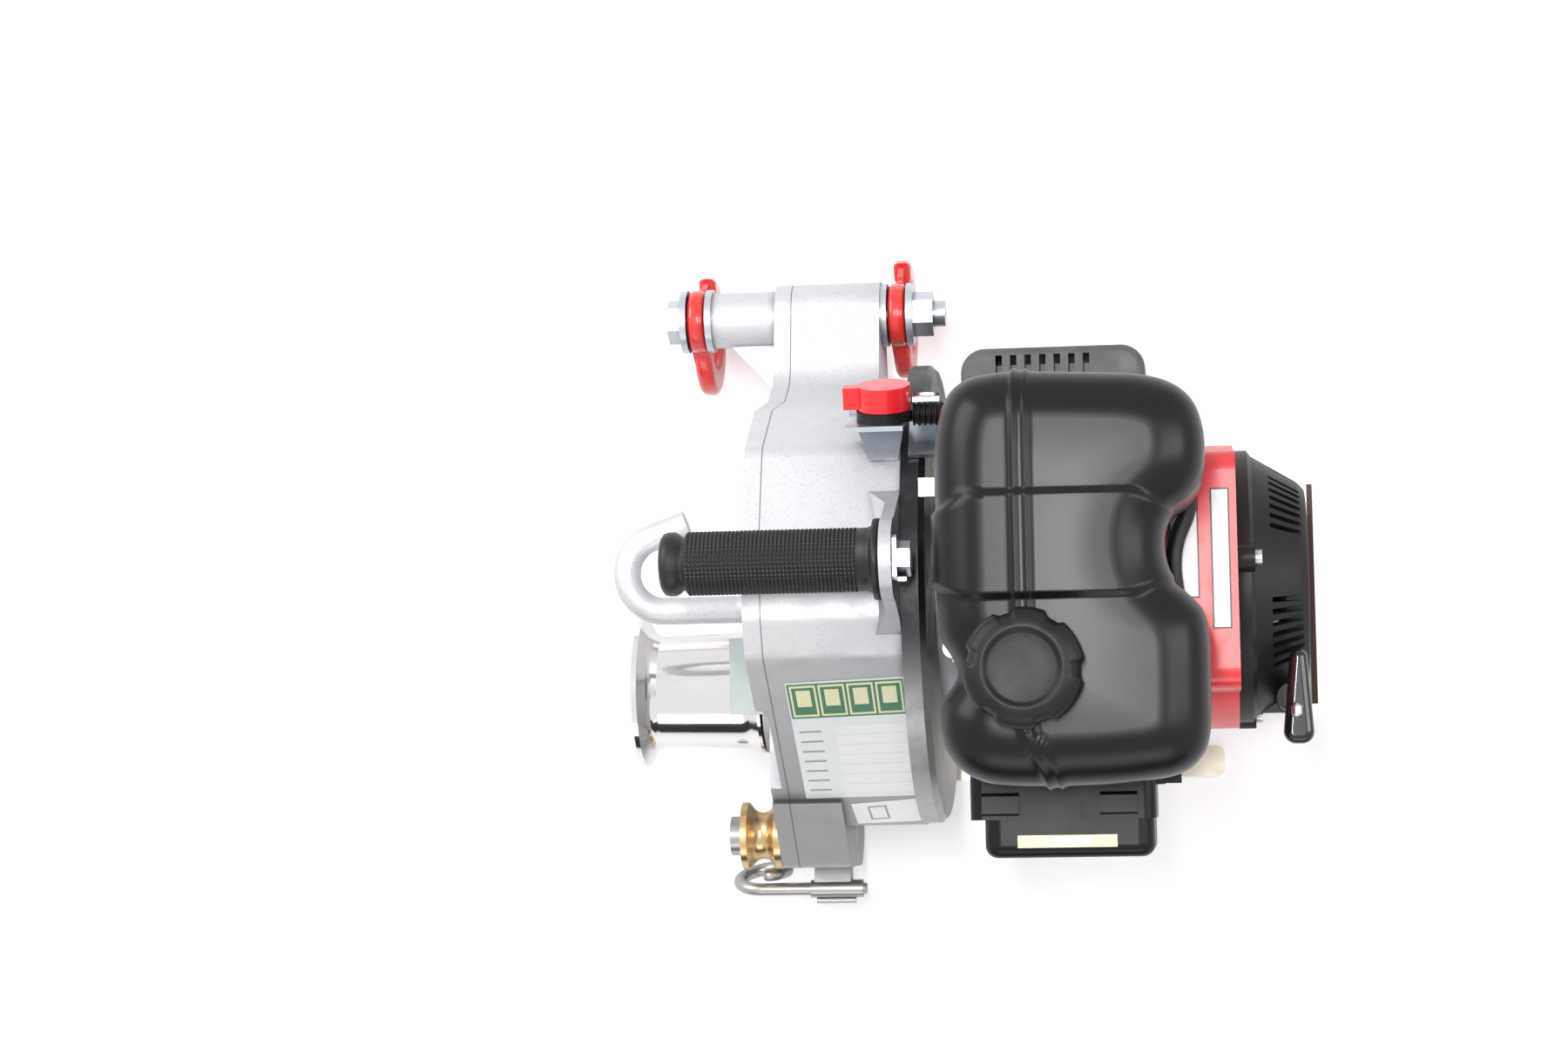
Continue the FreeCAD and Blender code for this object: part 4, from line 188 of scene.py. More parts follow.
def patch_group():
    """Soft patches with a set edge, for handling marks, dust and uneven gloss."""
    group, given, gives = new_group("soft_patches", [
        ("Scale", "NodeSocketFloat", 30.0), ("Low", "NodeSocketFloat", 0.4),
        ("High", "NodeSocketFloat", 0.7), ("Shift", "NodeSocketVector", None)], [("Mask", "NodeSocketFloat")])
    where = group.nodes.new("ShaderNodeTexCoord")
    moved = group.nodes.new("ShaderNodeVectorMath")
    noise = group.nodes.new("ShaderNodeTexNoise")
    noise.inputs["Detail"].default_value = 5.0
    noise.inputs["Roughness"].default_value = 0.6
    span = group.nodes.new("ShaderNodeMapRange")
    span.interpolation_type = "SMOOTHSTEP"
    link = group.links.new
    link(where.outputs["Object"], moved.inputs[0])
    link(given.outputs["Shift"], moved.inputs[1])
    link(moved.outputs[0], noise.inputs["Vector"])
    link(given.outputs["Scale"], noise.inputs["Scale"])
    link(noise.outputs["Fac"], span.inputs["Value"])
    link(given.outputs["Low"], span.inputs["From Min"])
    link(given.outputs["High"], span.inputs["From Max"])
    link(span.outputs["Result"], gives.inputs["Mask"])
    return group


def line_group():
    """Fine lines from noise stretched by a vector, for turned, brushed and drawn metal."""
    group, given, gives = new_group("tool_lines", [
        ("Stretch", "NodeSocketVector", None), ("Scale", "NodeSocketFloat", 1.0)],
        [("Height", "NodeSocketFloat")])
    where = group.nodes.new("ShaderNodeTexCoord")
    stretched = group.nodes.new("ShaderNodeVectorMath")
    stretched.operation = "MULTIPLY"
    noise = group.nodes.new("ShaderNodeTexNoise")
    noise.inputs["Detail"].default_value = 3.0
    link = group.links.new
    link(where.outputs["Object"], stretched.inputs[0])
    link(given.outputs["Stretch"], stretched.inputs[1])
    link(stretched.outputs[0], noise.inputs["Vector"])
    link(given.outputs["Scale"], noise.inputs["Scale"])
    link(noise.outputs["Fac"], gives.inputs["Height"])
    return group


GRAIN = grain_group()
PATCHES = patch_group()
LINES = line_group()


class Finish:
    """One material, built up by its own layers."""

    def __init__(self, name, colour, roughness, metallic=0.0):
        self.material = bpy.data.materials.new(name)
        self.material.use_nodes = True
        self.tree = self.material.node_tree
        self.shader = self.tree.nodes["Principled BSDF"]
        self.colour = self.constant_colour(colour)
        self.rough = self.constant(roughness)
        self.shader.inputs["Metallic"].default_value = metallic
        self.heights = []

    def constant_colour(self, colour):
        node = self.tree.nodes.new("ShaderNodeRGB")
        node.outputs[0].default_value = (*colour, 1.0)
        return node.outputs[0]

    def constant(self, value):
        node = self.tree.nodes.new("ShaderNodeValue")
        node.outputs[0].default_value = value
        return node.outputs[0]

    def group(self, group, **values):
        node = self.tree.nodes.new("ShaderNodeGroup")
        node.node_tree = group
        for label, value in values.items():
            node.inputs[label.replace("_", " ")].default_value = value
        return node.outputs[0]

    def patches(self, scale, low, high, shift=(0.0, 0.0, 0.0)):
        return self.group(PATCHES, Scale=scale, Low=low, High=high, Shift=shift)

    def along(self, axis, low, high):
        """A mask that rises from 0 to 1 between two places on one axis, in millimetres."""
        where = self.tree.nodes.new("ShaderNodeTexCoord")
        parts = self.tree.nodes.new("ShaderNodeSeparateXYZ")
        span = self.tree.nodes.new("ShaderNodeMapRange")
        span.interpolation_type = "SMOOTHSTEP"
        span.inputs["From Min"].default_value = low * MM
        span.inputs["From Max"].default_value = high * MM
        self.tree.links.new(where.outputs["Object"], parts.inputs[0])
        self.tree.links.new(parts.outputs[axis], span.inputs["Value"])
        return span.outputs["Result"]

    def painted_crease_shade(self, reach, colour, amount):
        """Painted shade in corners closer than the reach, in millimetres."""
        near = self.tree.nodes.new("ShaderNodeAmbientOcclusion")
        near.samples = 6
        near.inputs["Distance"].default_value = reach * MM
        span = self.tree.nodes.new("ShaderNodeMapRange")
        span.inputs["From Min"].default_value = 0.95
        span.inputs["From Max"].default_value = 0.45
        self.tree.links.new(near.outputs["AO"], span.inputs["Value"])
        return self.tint(span.outputs["Result"], colour, amount)

    def seam(self, axis, place, half):
        """A mask for one thin line across an axis, in millimetres."""
        rise = self.along(axis, place - half, place)
        fall = self.along(axis, place + half, place)
        both = self.tree.nodes.new("ShaderNodeMath")
        both.operation = "MULTIPLY"
        self.tree.links.new(rise, both.inputs[0])
        self.tree.links.new(fall, both.inputs[1])
        return both.outputs[0]

    def tint(self, mask, colour, amount=1.0):
        mix = self.tree.nodes.new("ShaderNodeMix")
        mix.data_type = "RGBA"
        self.tree.links.new(self.scaled(mask, amount), mix.inputs["Factor"])
        self.tree.links.new(self.colour, mix.inputs[6])
        mix.inputs[7].default_value = (*colour, 1.0)
        self.colour = mix.outputs[2]
        return self

    def dull(self, mask, amount):
        add = self.tree.nodes.new("ShaderNodeMath")
        add.operation = "ADD"
        add.use_clamp = True
        self.tree.links.new(self.rough, add.inputs[0])
        self.tree.links.new(self.scaled(mask, amount), add.inputs[1])
        self.rough = add.outputs[0]
        return self

    def scaled(self, mask, amount):
        if amount == 1.0:
            return mask
        times = self.tree.nodes.new("ShaderNodeMath")
        times.operation = "MULTIPLY"
        self.tree.links.new(mask, times.inputs[0])
        times.inputs[1].default_value = amount
        return times.outputs[0]

    def raised(self, height, depth):
        """A height in millimetres for the bump."""
        self.heights.append((height, depth))
        return self

    def grain(self, depth, fine=900.0, coarse=120.0, share=0.4):
        return self.raised(self.group(GRAIN, Fine_Scale=fine, Coarse_Scale=coarse, Coarse_Share=share), depth)

    def lines(self, depth, stretch, scale=1.0):
        return self.raised(self.group(LINES, Stretch=stretch, Scale=scale), depth)

    def done(self, **sockets):
        link = self.tree.links.new
        link(self.colour, self.shader.inputs["Base Color"])
        link(self.rough, self.shader.inputs["Roughness"])
        normal = None
        for height, depth in self.heights:
            bump = self.tree.nodes.new("ShaderNodeBump")
            bump.inputs["Distance"].default_value = depth * MM
            bump.inputs["Strength"].default_value = 1.0
            link(height, bump.inputs["Height"])
            if normal is not None:
                link(normal, bump.inputs["Normal"])
            normal = bump.outputs["Normal"]
        if normal is not None:
            link(normal, self.shader.inputs["Normal"])
        for label, value in sockets.items():
            self.shader.inputs[label.replace("_", " ")].default_value = value
        return self.material


# Where the housing and its cover meet.
PARTING_X = -81.0


def cast_aluminium():
    f = Finish("cast_aluminium", (0.66, 0.66, 0.68), 0.46, 0.7)
    # Painted shade: the casting is darker toward the front, where less light falls.
    f.tint(f.along("Y", 20.0, -125.0), (0.36, 0.36, 0.37), 0.85)
    # Painted shade: the casting is darker toward the engine, in the shadow of the engine and tank.
    f.tint(f.along("X", -70.0, -8.0), (0.48, 0.48, 0.51), 0.5)
    f.tint(f.patches(620.0, 0.52, 0.72), (0.44, 0.44, 0.46), 0.5)
    f.tint(f.patches(34.0, 0.52, 0.8, (3.0, 1.0, 0.0)), (0.44, 0.44, 0.46), 0.35)
    f.tint(f.seam("X", PARTING_X, 0.55), (0.10, 0.10, 0.10), 0.85)
    f.dull(f.patches(60.0, 0.35, 0.7), 0.14)
    f.grain(0.12, 800.0, 220.0, 0.35)
    # Painted shade in the casting's corners and creases.
    f.painted_crease_shade(5.0, (0.20, 0.20, 0.21), 0.8)
    return f.done()


def black_plastic(name, colour, roughness, bump, coat=0.0, shine=0.3, uneven=0.08):
    f = Finish(name, colour, roughness)
    f.dull(f.patches(22.0, 0.35, 0.75), uneven)
    f.tint(f.patches(150.0, 0.55, 0.8), tuple(c * 1.5 + 0.002 for c in colour), 0.5)
    f.tint(f.patches(900.0, 0.72, 0.8, (5.0, 0.0, 0.0)), (0.12, 0.12, 0.12), 0.4)
    f.grain(bump, 1400.0, 420.0, 0.5)
    return f.done(Coat_Weight=coat, Coat_Roughness=0.12, Specular_IOR_Level=shine)


def black_rubber():
    f = Finish("black_rubber", (0.009, 0.009, 0.010), 0.40)
    f.dull(f.patches(60.0, 0.4, 0.7), 0.14)
    f.tint(f.patches(120.0, 0.5, 0.85), (0.028, 0.028, 0.030), 0.7)
    f.grain(0.03, 1500.0, 300.0, 0.3)
    return f.done(Specular_IOR_Level=0.42)


def gloss_red(name, colour, coat):
    f = Finish(name, colour, 0.28)
    f.tint(f.patches(50.0, 0.45, 0.8), tuple(c * 0.78 for c in colour), 0.5)
    f.dull(f.patches(120.0, 0.5, 0.8), 0.12)
    f.grain(0.035, 500.0, 180.0, 0.6)
    return f.done(Coat_Weight=coat, Coat_Roughness=0.06)


def zinc_plate():
    f = Finish("zinc_plate", (0.60, 0.63, 0.67), 0.33, 1.0)
    f.tint(f.patches(70.0, 0.45, 0.75), (0.46, 0.53, 0.62), 0.4)
    f.tint(f.patches(45.0, 0.55, 0.8, (0.0, 4.0, 0.0)), (0.62, 0.58, 0.52), 0.3)
    f.dull(f.patches(200.0, 0.45, 0.75), 0.1)
    f.grain(0.008, 1200.0, 200.0, 0.4)
    # Painted shade in the plated parts' corners.
    f.painted_crease_shade(3.0, (0.12, 0.12, 0.13), 0.7)
    return f.done()


def guard_paint():
    """Pale grey-green paint with scuffed metal showing in spots."""
    f = Finish("guard_paint", (0.44, 0.49, 0.48), 0.5, 0.15)
    f.tint(f.patches(60.0, 0.45, 0.8), (0.36, 0.40, 0.40), 0.6)
    f.tint(f.patches(300.0, 0.62, 0.74, (0.0, 1.0, 6.0)), (0.62, 0.64, 0.65), 0.5)
    f.dull(f.patches(90.0, 0.4, 0.7), 0.15)
    f.grain(0.05, 900.0, 200.0, 0.4)
    # Painted shade in the guard's corners.
    f.painted_crease_shade(4.0, (0.10, 0.11, 0.11), 0.8)
    return f.done()


def turned_steel(name, colour, roughness):
    f = Finish(name, colour, roughness, 1.0)
    f.dull(f.patches(50.0, 0.45, 0.8), 0.08)
    f.tint(f.patches(35.0, 0.5, 0.8), tuple(c * 0.8 for c in colour), 0.4)
    f.lines(0.012, (2600.0, 14.0, 14.0))
    return f.done()


def turned_brass():
    f = Finish("turned_brass", (0.64, 0.47, 0.25), 0.24, 1.0)
    f.tint(f.patches(80.0, 0.45, 0.75), (0.42, 0.28, 0.12), 0.5)
    f.tint(f.patches(36.0, 0.5, 0.7, (1.0, 5.0, 2.0)), (0.30, 0.20, 0.09), 0.5)
    f.dull(f.patches(60.0, 0.4, 0.7), 0.16)
    f.lines(0.02, (2400.0, 20.0, 20.0))
    return f.done()


def passivated_plate():
    f = Finish("passivated_plate", (0.76, 0.73, 0.62), 0.34, 0.6)
    f.tint(f.patches(28.0, 0.4, 0.7), (0.82, 0.81, 0.74), 0.7)
    f.tint(f.patches(55.0, 0.5, 0.8, (2.0, 2.0, 0.0)), (0.60, 0.50, 0.34), 0.5)
    f.dull(f.patches(150.0, 0.4, 0.7), 0.14)
    f.lines(0.02, (40.0, 900.0, 40.0))
    return f.done()


def bell_metal():
    """Black at the rear and top, grading to grey toward the front: painted reflection, the black for the dark
    above and the grey for the pale floor.
    """
    f = Finish("bell_metal", (0.018, 0.019, 0.021), 0.36, 0.5)
    # Painted reflection: lighter grey toward the front, where the bell would mirror the pale floor.
    f.tint(f.along("Y", -15.0, -85.0), (0.46, 0.46, 0.47), 0.9)
    f.tint(f.patches(80.0, 0.5, 0.8), (0.10, 0.10, 0.105), 0.4)
    f.dull(f.patches(60.0, 0.4, 0.75), 0.16)
    f.lines(0.02, (60.0, 1500.0, 60.0))
    # Painted shade in the bell's corners.
    f.painted_crease_shade(4.0, (0.02, 0.02, 0.02), 0.6)
    return f.done()


def matt_paint():
    f = Finish("matt_paint", (0.075, 0.077, 0.08), 0.48)
    f.tint(f.patches(90.0, 0.45, 0.75), (0.12, 0.12, 0.125), 0.7)
    f.dull(f.patches(60.0, 0.4, 0.7), 0.12)
    f.grain(0.05, 1000.0, 240.0, 0.4)
    return f.done()


def filter_foam():
    f = Finish("filter_foam", (0.42, 0.36, 0.18), 0.9)
    f.grain(0.6, 700.0, 300.0, 0.5)
    return f.done()


def plain_label():
    f = Finish("label_foil", (0.80, 0.84, 0.83), 0.34, 0.15)
    f.tint(f.patches(40.0, 0.45, 0.8), (0.78, 0.81, 0.84), 0.7)
    f.dull(f.patches(90.0, 0.4, 0.8), 0.12)
    f.grain(0.01, 1200.0, 90.0, 0.6)
    return f.done()


def printed(name, colour):
    f = Finish(name, colour, 0.36)
    f.tint(f.patches(120.0, 0.5, 0.85), tuple(min(1.0, c * 1.12) for c in colour), 0.6)
    f.grain(0.008, 1200.0, 120.0, 0.5)
    return f.done()


FINISHES = {
    "cast_aluminium": cast_aluminium(),
    "tank_plastic": black_plastic("tank_plastic", (0.0055, 0.0055, 0.0065), 0.29, 0.010, 0.0, 0.27, 0.02),
    "cap_plastic": black_plastic("cap_plastic", (0.008, 0.008, 0.009), 0.38, 0.09, 0.0, 0.28),
    "box_plastic": black_plastic("box_plastic", (0.006, 0.006, 0.007), 0.30, 0.015, 0.0, 0.2, 0.03),
    "starter_plastic": black_plastic("starter_plastic", (0.008, 0.008, 0.009), 0.42, 0.05, 0.0, 0.3),
    "grip_plastic": black_plastic("grip_plastic", (0.008, 0.008, 0.009), 0.12, 0.005, 0.6),
    "black_rubber": black_rubber(),
    "red_paint": gloss_red("red_paint", (0.70, 0.024, 0.018), 0.7),
    "red_plastic": gloss_red("red_plastic", (0.86, 0.022, 0.03), 0.3),
    "shroud_red": gloss_red("shroud_red", (0.84, 0.045, 0.055), 0.3),
    "zinc_plate": zinc_plate(),
    "guard_paint": guard_paint(),
    "drum_steel": turned_steel("drum_steel", (0.80, 0.79, 0.78), 0.10),
    "bare_steel": turned_steel("bare_steel", (0.56, 0.56, 0.57), 0.28),
    "turned_brass": turned_brass(),
    "passivated_plate": passivated_plate(),
    "bell_metal": bell_metal(),
    "worn_steel": turned_steel("worn_steel", (0.43, 0.42, 0.40), 0.33),
    "heat_steel": turned_steel("heat_steel", (0.10, 0.095, 0.09), 0.5),
    "label_green": printed("label_green", (0.07, 0.20, 0.12)),
    "label_pale": printed("label_pale", (0.80, 0.78, 0.50)),
    "print_black": printed("print_black", (0.03, 0.03, 0.03)),
    "matt_paint": matt_paint(),
    "filter_foam": filter_foam(),
    # Painted shade: the edge strip's dark red-brown stands for a face in shadow.
    "edge_shade_brown": black_plastic("edge_shade_brown", (0.060, 0.026, 0.022), 0.4, 0.03),
    "label_foil": plain_label(),
    "print_white": printed("print_white", (0.86, 0.86, 0.85)),
    "print_grey": printed("print_grey", (0.30, 0.36, 0.36)),
}

NODE_FINISH = {
    "cast_aluminium": ["gear_housing", "housing_cover", "engine_block", "cylinder"],
    "bell_metal": ["clutch_bell"],
    "worn_steel": ["roller_bolt", "pigtail_sleeve", "sleeve_clip", "rope_pigtail", "throttle_lever"],
    "heat_steel": ["muffler"],
    "guard_paint": ["rope_guard"],
    "zinc_plate": ["flat_washers", "anchor_bolt", "anchor_nut", "hook_bushes",
                   "handle_bolt", "lock_washer", "switch_bracket",
                   "conduit_bracket", "throttle_post",
                   "starter_bolts", "cover_bolts"],
    "bare_steel": ["shaft_bearings", "handle_core", "output_gear", "second_gear_shaft", "first_gear_shaft",
                   "clutch_drum", "crankshaft", "clutch_shoes", "spark_plug"],
    "drum_steel": ["capstan_drum"],
    "turned_brass": ["guide_roller"],
    "passivated_plate": ["base_plate"],
    "red_paint": ["anchor_hook_left", "anchor_hook_right", "hook_latch_left", "hook_latch_right"],
    "red_plastic": ["stop_switch_knob"],
    "shroud_red": ["fan_shroud"],
    "matt_paint": ["muffler_guard", "rocker_cover"],
    "black_rubber": ["drum_seal", "fuel_hose", "handle_grip"],
    "tank_plastic": ["fuel_tank"],
    "cap_plastic": ["fuel_cap", "switch_body", "switch_conduit", "carburettor", "recoil_pulley", "flywheel_fan",
                    "choke_lever"],
    "box_plastic": ["air_cleaner_base", "air_cleaner_cover"],
    "starter_plastic": ["starter_cover"],
    "grip_plastic": ["starter_grip"],
    "edge_shade_brown": ["edge_strip"],
    "filter_foam": ["air_filter"],
}

# Rounding of the edges of some nodes, in millimetres.
BEVELLED = {
    "gear_housing": 1.1, "housing_cover": 1.1, "clutch_bell": 0.6, "lock_washer": 0.3, "muffler_guard": 0.6,
    "anchor_bolt": 0.5, "anchor_nut": 0.5, "stop_switch_knob": 1.2, "fan_shroud": 1.0,
}


def bevel_nodes():
    for name, width in BEVELLED.items():
        edge = nodes_of_frame[name].modifiers.new("edge_round", "BEVEL")
        edge.width = width * MM
        edge.segments = 2
        edge.limit_method = "ANGLE"
        edge.angle_limit = math.radians(40)
        edge.use_clamp_overlap = True


def dress_nodes():
    for finish, names in NODE_FINISH.items():
        for name in names:
            node = nodes_of_frame[name]
            node.data.materials.clear()
            node.data.materials.append(FINISHES[finish])


def new_piece(name, verts, faces, finish, body, smooth=True, merge=0.00001):
    mesh = bpy.data.meshes.new(name)
    mesh.from_pydata([tuple(c * MM for c in v) for v in verts], [], faces)
    work = bmesh.new()
    work.from_mesh(mesh)
    bmesh.ops.remove_doubles(work, verts=work.verts, dist=merge)
    bmesh.ops.recalc_face_normals(work, faces=work.faces)
    work.to_mesh(mesh)
    work.free()
    mesh.polygons.foreach_set("use_smooth", [smooth] * len(mesh.polygons))
    piece = bpy.data.objects.new(name, mesh)
    bpy.context.scene.collection.objects.link(piece)
    mesh.materials.append(FINISHES[finish])
    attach(piece, body)
    return piece


def closed_curve(points, steps):
    """A smooth closed line through the points (Catmull-Rom), with even steps along it."""
    count = len(points)
    line = []
    for i in range(count):
        p0, p1, p2, p3 = (Vector(points[(i + k) % count]) for k in (-1, 0, 1, 2))
        for k in range(12):
            t = k / 12
            line.append(0.5 * ((2 * p1) + (p2 - p0) * t + (2 * p0 - 5 * p1 + 4 * p2 - p3) * t * t
                               + (3 * p1 - p0 - 3 * p2 + p3) * t ** 3))
    lengths = [0.0]
    for a, b in zip(line, line[1:] + line[:1]):
        lengths.append(lengths[-1] + (b - a).length)
    total = lengths[-1]
    even = []
    k = 0
    for i in range(steps):
        at = total * i / steps
        while lengths[k + 1] < at:
            k += 1
        part = (at - lengths[k]) / (lengths[k + 1] - lengths[k])
        even.append(line[k].lerp(line[(k + 1) % len(line)], part))
    return even


def smooth_step(low, high, value):
    t = min(1.0, max(0.0, (value - low) / (high - low)))
    return t * t * (3 - 2 * t)


# Fuel tank: two lobes with a raised middle, a waist on each side and a moulded seam over the top.
TANK_OUTLINE = [
    (52.6, 90.4), (87.0, 89.0), (109.0, 87.2), (123.0, 82.5), (132.0, 73.8), (136.0, 61.0), (136.2, 48.0),
    (133.8, 38.2), (127.5, 29.5), (119.3, 23.8), (116.0, 17.0), (114.9, 8.5), (115.9, 0.0), (119.0, -7.2),
    (127.4, -14.5), (134.0, -22.5), (136.4, -34.8), (136.5, -55.3), (135.6, -78.0), (130.6, -89.6),
    (119.4, -96.8), (97.0, -100.0), (72.6, -101.0), (49.2, -100.8), (33.6, -99.0), (21.9, -93.1),
    (14.3, -82.2), (12.2, -70.4), (13.4, -62.0), (17.6, -55.8), (21.0, -49.0), (18.1, -40.5), (13.5, -33.0),
    (12.0, -23.1), (11.8, -3.3), (12.0, 17.9), (11.9, 47.7), (13.7, 66.5), (19.0, 80.4), (27.7, 87.4),
    (39.7, 89.9),
]


TANK_LOW = 250.0
TANK_TOP = 337.3
TANK_MIDDLE = Vector((74.0, 0.0, 290.0))
SPINE_X = 72.0
SPINE_FRONT = -52.0
SPINE_REAR = 42.0
SEAM_X = 52.6
SEAM_ASIDE = 13.0
BAND_FRONT = -16.5
BAND_REAR = 34.5
BAND_EDGE = 3.5
BAND_RISE = 2.2
BEAD_RISE = 1.1
RIDGE_RISE = 0.8


def tank_relief(x, y):
    """How far the skin stands out: the raised middle band, the seam's ridge and its two beads."""
    bend = 7.0 * smooth_step(30, 12, x) + 8.0 * smooth_step(100, 122, x)
    front, rear = BAND_FRONT + bend * 0.8, BAND_REAR - bend
    middle = smooth_step(front, front + BAND_EDGE, y) * smooth_step(rear, rear - BAND_EDGE, y)
    off = x - SEAM_X - SEAM_ASIDE * smooth_step(-66.0, -106.0, y)
    beads = math.exp(-((off + 2.9) / 1.15) ** 2) + 0.8 * math.exp(-((off - 2.7) / 0.8) ** 2)
    ridge = math.exp(-(off / 4.6) ** 4)
    return BAND_RISE * middle + BEAD_RISE * beads + RIDGE_RISE * ridge


def rows_of_faces(rows, count):
    """Four-sided faces between closed rows of points, each row with the same count."""
    faces = []
    for k in range(rows - 1):
        for i in range(count):
            j = (i + 1) % count
            faces.append((k * count + i, k * count + j, (k + 1) * count + j, (k + 1) * count + i))
    return faces


def even_ring(ring, count):
    """The closed ring again with equal steps, starting from its first point."""
    lengths = [0.0]
    for a, b in zip(ring, ring[1:] + ring[:1]):
        lengths.append(lengths[-1] + (b - a).length)
    even = []
    k = 0
    for i in range(count):
        at = lengths[-1] * i / count
        while lengths[k + 1] < at:
            k += 1
        part = (at - lengths[k]) / max(1e-9, lengths[k + 1] - lengths[k])
        even.append(ring[k].lerp(ring[(k + 1) % len(ring)], part))
    return even


def inward_rings(outline, depths, longest_step=0.9):
    """The outline moved in by each depth, in short steps that are evened and eased, so that no ring folds."""
    count = len(outline)
    ring = list(outline)
    at = 0.0
    rings = []
    for depth in depths:
        while at < depth - 1e-6:
            step = min(longest_step, depth - at)
            moved = []
            for i, point in enumerate(ring):
                way = ring[(i + 2) % count] - ring[i - 2]
                moved.append(point + Vector((-way.y, way.x, 0.0)).normalized() * -step)
            for _ in range(2):
                moved = [moved[i] * 0.5 + (moved[i - 1] + moved[(i + 1) % count]) * 0.25
                         for i in range(count)]
            ring = even_ring(moved, count)
            at += step
        rings.append(list(ring))
    return rings


def tank_shell():
    count = 540
    outline = closed_curve([(x, y, 0.0) for x, y in TANK_OUTLINE], count)
    round_top, round_low, crown = 24.0, 9.0, 0.7
    low_turns = [math.radians(a) for a in range(90, -1, -15)]
    top_turns = [math.radians(a) for a in range(0, 91, 6)]
    low_rings = inward_rings(outline, [round_low * (1 - math.cos(a)) for a in reversed(low_turns)])[::-1]
    top_rings = inward_rings(outline, [round_top * (1 - math.cos(a)) for a in top_turns])
    verts = []
    for ring, a in zip(low_rings, low_turns):
        verts += [Vector((p.x, p.y, TANK_LOW + round_low * (1 - math.sin(a)))) for p in ring]
    for ring, a in zip(top_rings, top_turns):
        verts += [Vector((p.x, p.y, TANK_TOP - round_top * (1 - math.sin(a)))) for p in ring]
    last = verts[-count:]
    fill = 52
    for k in range(1, fill + 1):
        share = k / fill
        for p in last:
            spine_y = min(SPINE_REAR, max(SPINE_FRONT, p.y * 0.7))
            verts.append(Vector((p.x + (SPINE_X - p.x) * share, p.y + (spine_y - p.y) * share,
                                 TANK_TOP + crown * math.sin(share * math.pi / 2))))
    total = len(low_rings) + len(top_rings) + fill
    faces = rows_of_faces(total, count)
    faces.append(tuple(range(count - 1, -1, -1)))
    normals = skin_normals(verts, count, total)
    shaped = []
    for n, v in enumerate(verts):
        lift = smooth_step(256.0, 264.0, v.z)
        shaped.append(v + normals[n] * tank_relief(v.x, v.y) * lift)
    piece = new_piece("tank_shell", [tuple(v) for v in shaped], faces, "tank_plastic", "frame", merge=0.0002)
    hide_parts("fuel_tank")


def skin_normals(verts, count, rings):
    normals = []
    for k in range(rings):
        for i in range(count):
            a = verts[k * count + (i + 1) % count] - verts[k * count + i - 1]
            up = verts[min(rings - 1, k + 1) * count + i] - verts[max(0, k - 1) * count + i]
            n = a.cross(up)
            if n.length < 1e-9:
                n = Vector((0, 0, 1))
            n.normalize()
            inside = Vector((TANK_MIDDLE.x, verts[k * count + i].y * 0.5, TANK_MIDDLE.z))
            outward = verts[k * count + i] - inside
            normals.append(n if n.dot(outward) > 0 else -n)
    return normals


# Fuel cap with scalloped notches and a sunk, bare disc.
CAP_AXIS = (53.0, -48.0)
CAP_NOTCHES = (-3, 57, 107, 168, 232, 290)
NOTCH_DEPTH = 2.1
NOTCH_HALF = 0.155


def cap_shell():
    count = 360
    low, high = 346.0, 363.0
    notches = [math.radians(a) for a in CAP_NOTCHES]
    profile = [
        (26.3, low), (27.0, low + 0.6), (27.4, low + 3), (27.4, high - 7.5), (26.6, high - 4.6),
        (24.4, high - 2.2), (21.4, high - 0.7), (18.6, high - 0.1), (17.2, high - 0.15),
        (16.7, high - 1.2), (15.9, high - 1.7), (15.2, high - 1.85), (9.0, high - 1.9),
        (0.3, high - 1.9),
    ]
    verts = []
    for radius, height in profile:
        for i in range(count):
            a = FULL_TURN * i / count
            r = radius
            if radius > 22:
                gaps = [((a - n + math.pi) % FULL_TURN - math.pi) / NOTCH_HALF for n in notches]
                bite = max(math.exp(-gap ** 6) for gap in gaps)
                r -= NOTCH_DEPTH * bite * smooth_step(22.0, 25.5, radius)
            verts.append((CAP_AXIS[0] + r * math.cos(a), CAP_AXIS[1] + r * math.sin(a), height))
    rows = len(profile)
    faces = rows_of_faces(rows, count)
    faces.append(tuple(range(count - 1, -1, -1)))
    faces.append(tuple((rows - 1) * count + i for i in range(count)))
    piece = new_piece("cap_shell", verts, faces, "cap_plastic", "cap")
    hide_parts("fuel_cap")


# Rubber grip: plain end bulb, a groove, then fine raised squares all round, a collar and a thin flange.
GRIP_Y = 8.6
GRIP_Z = 265.0


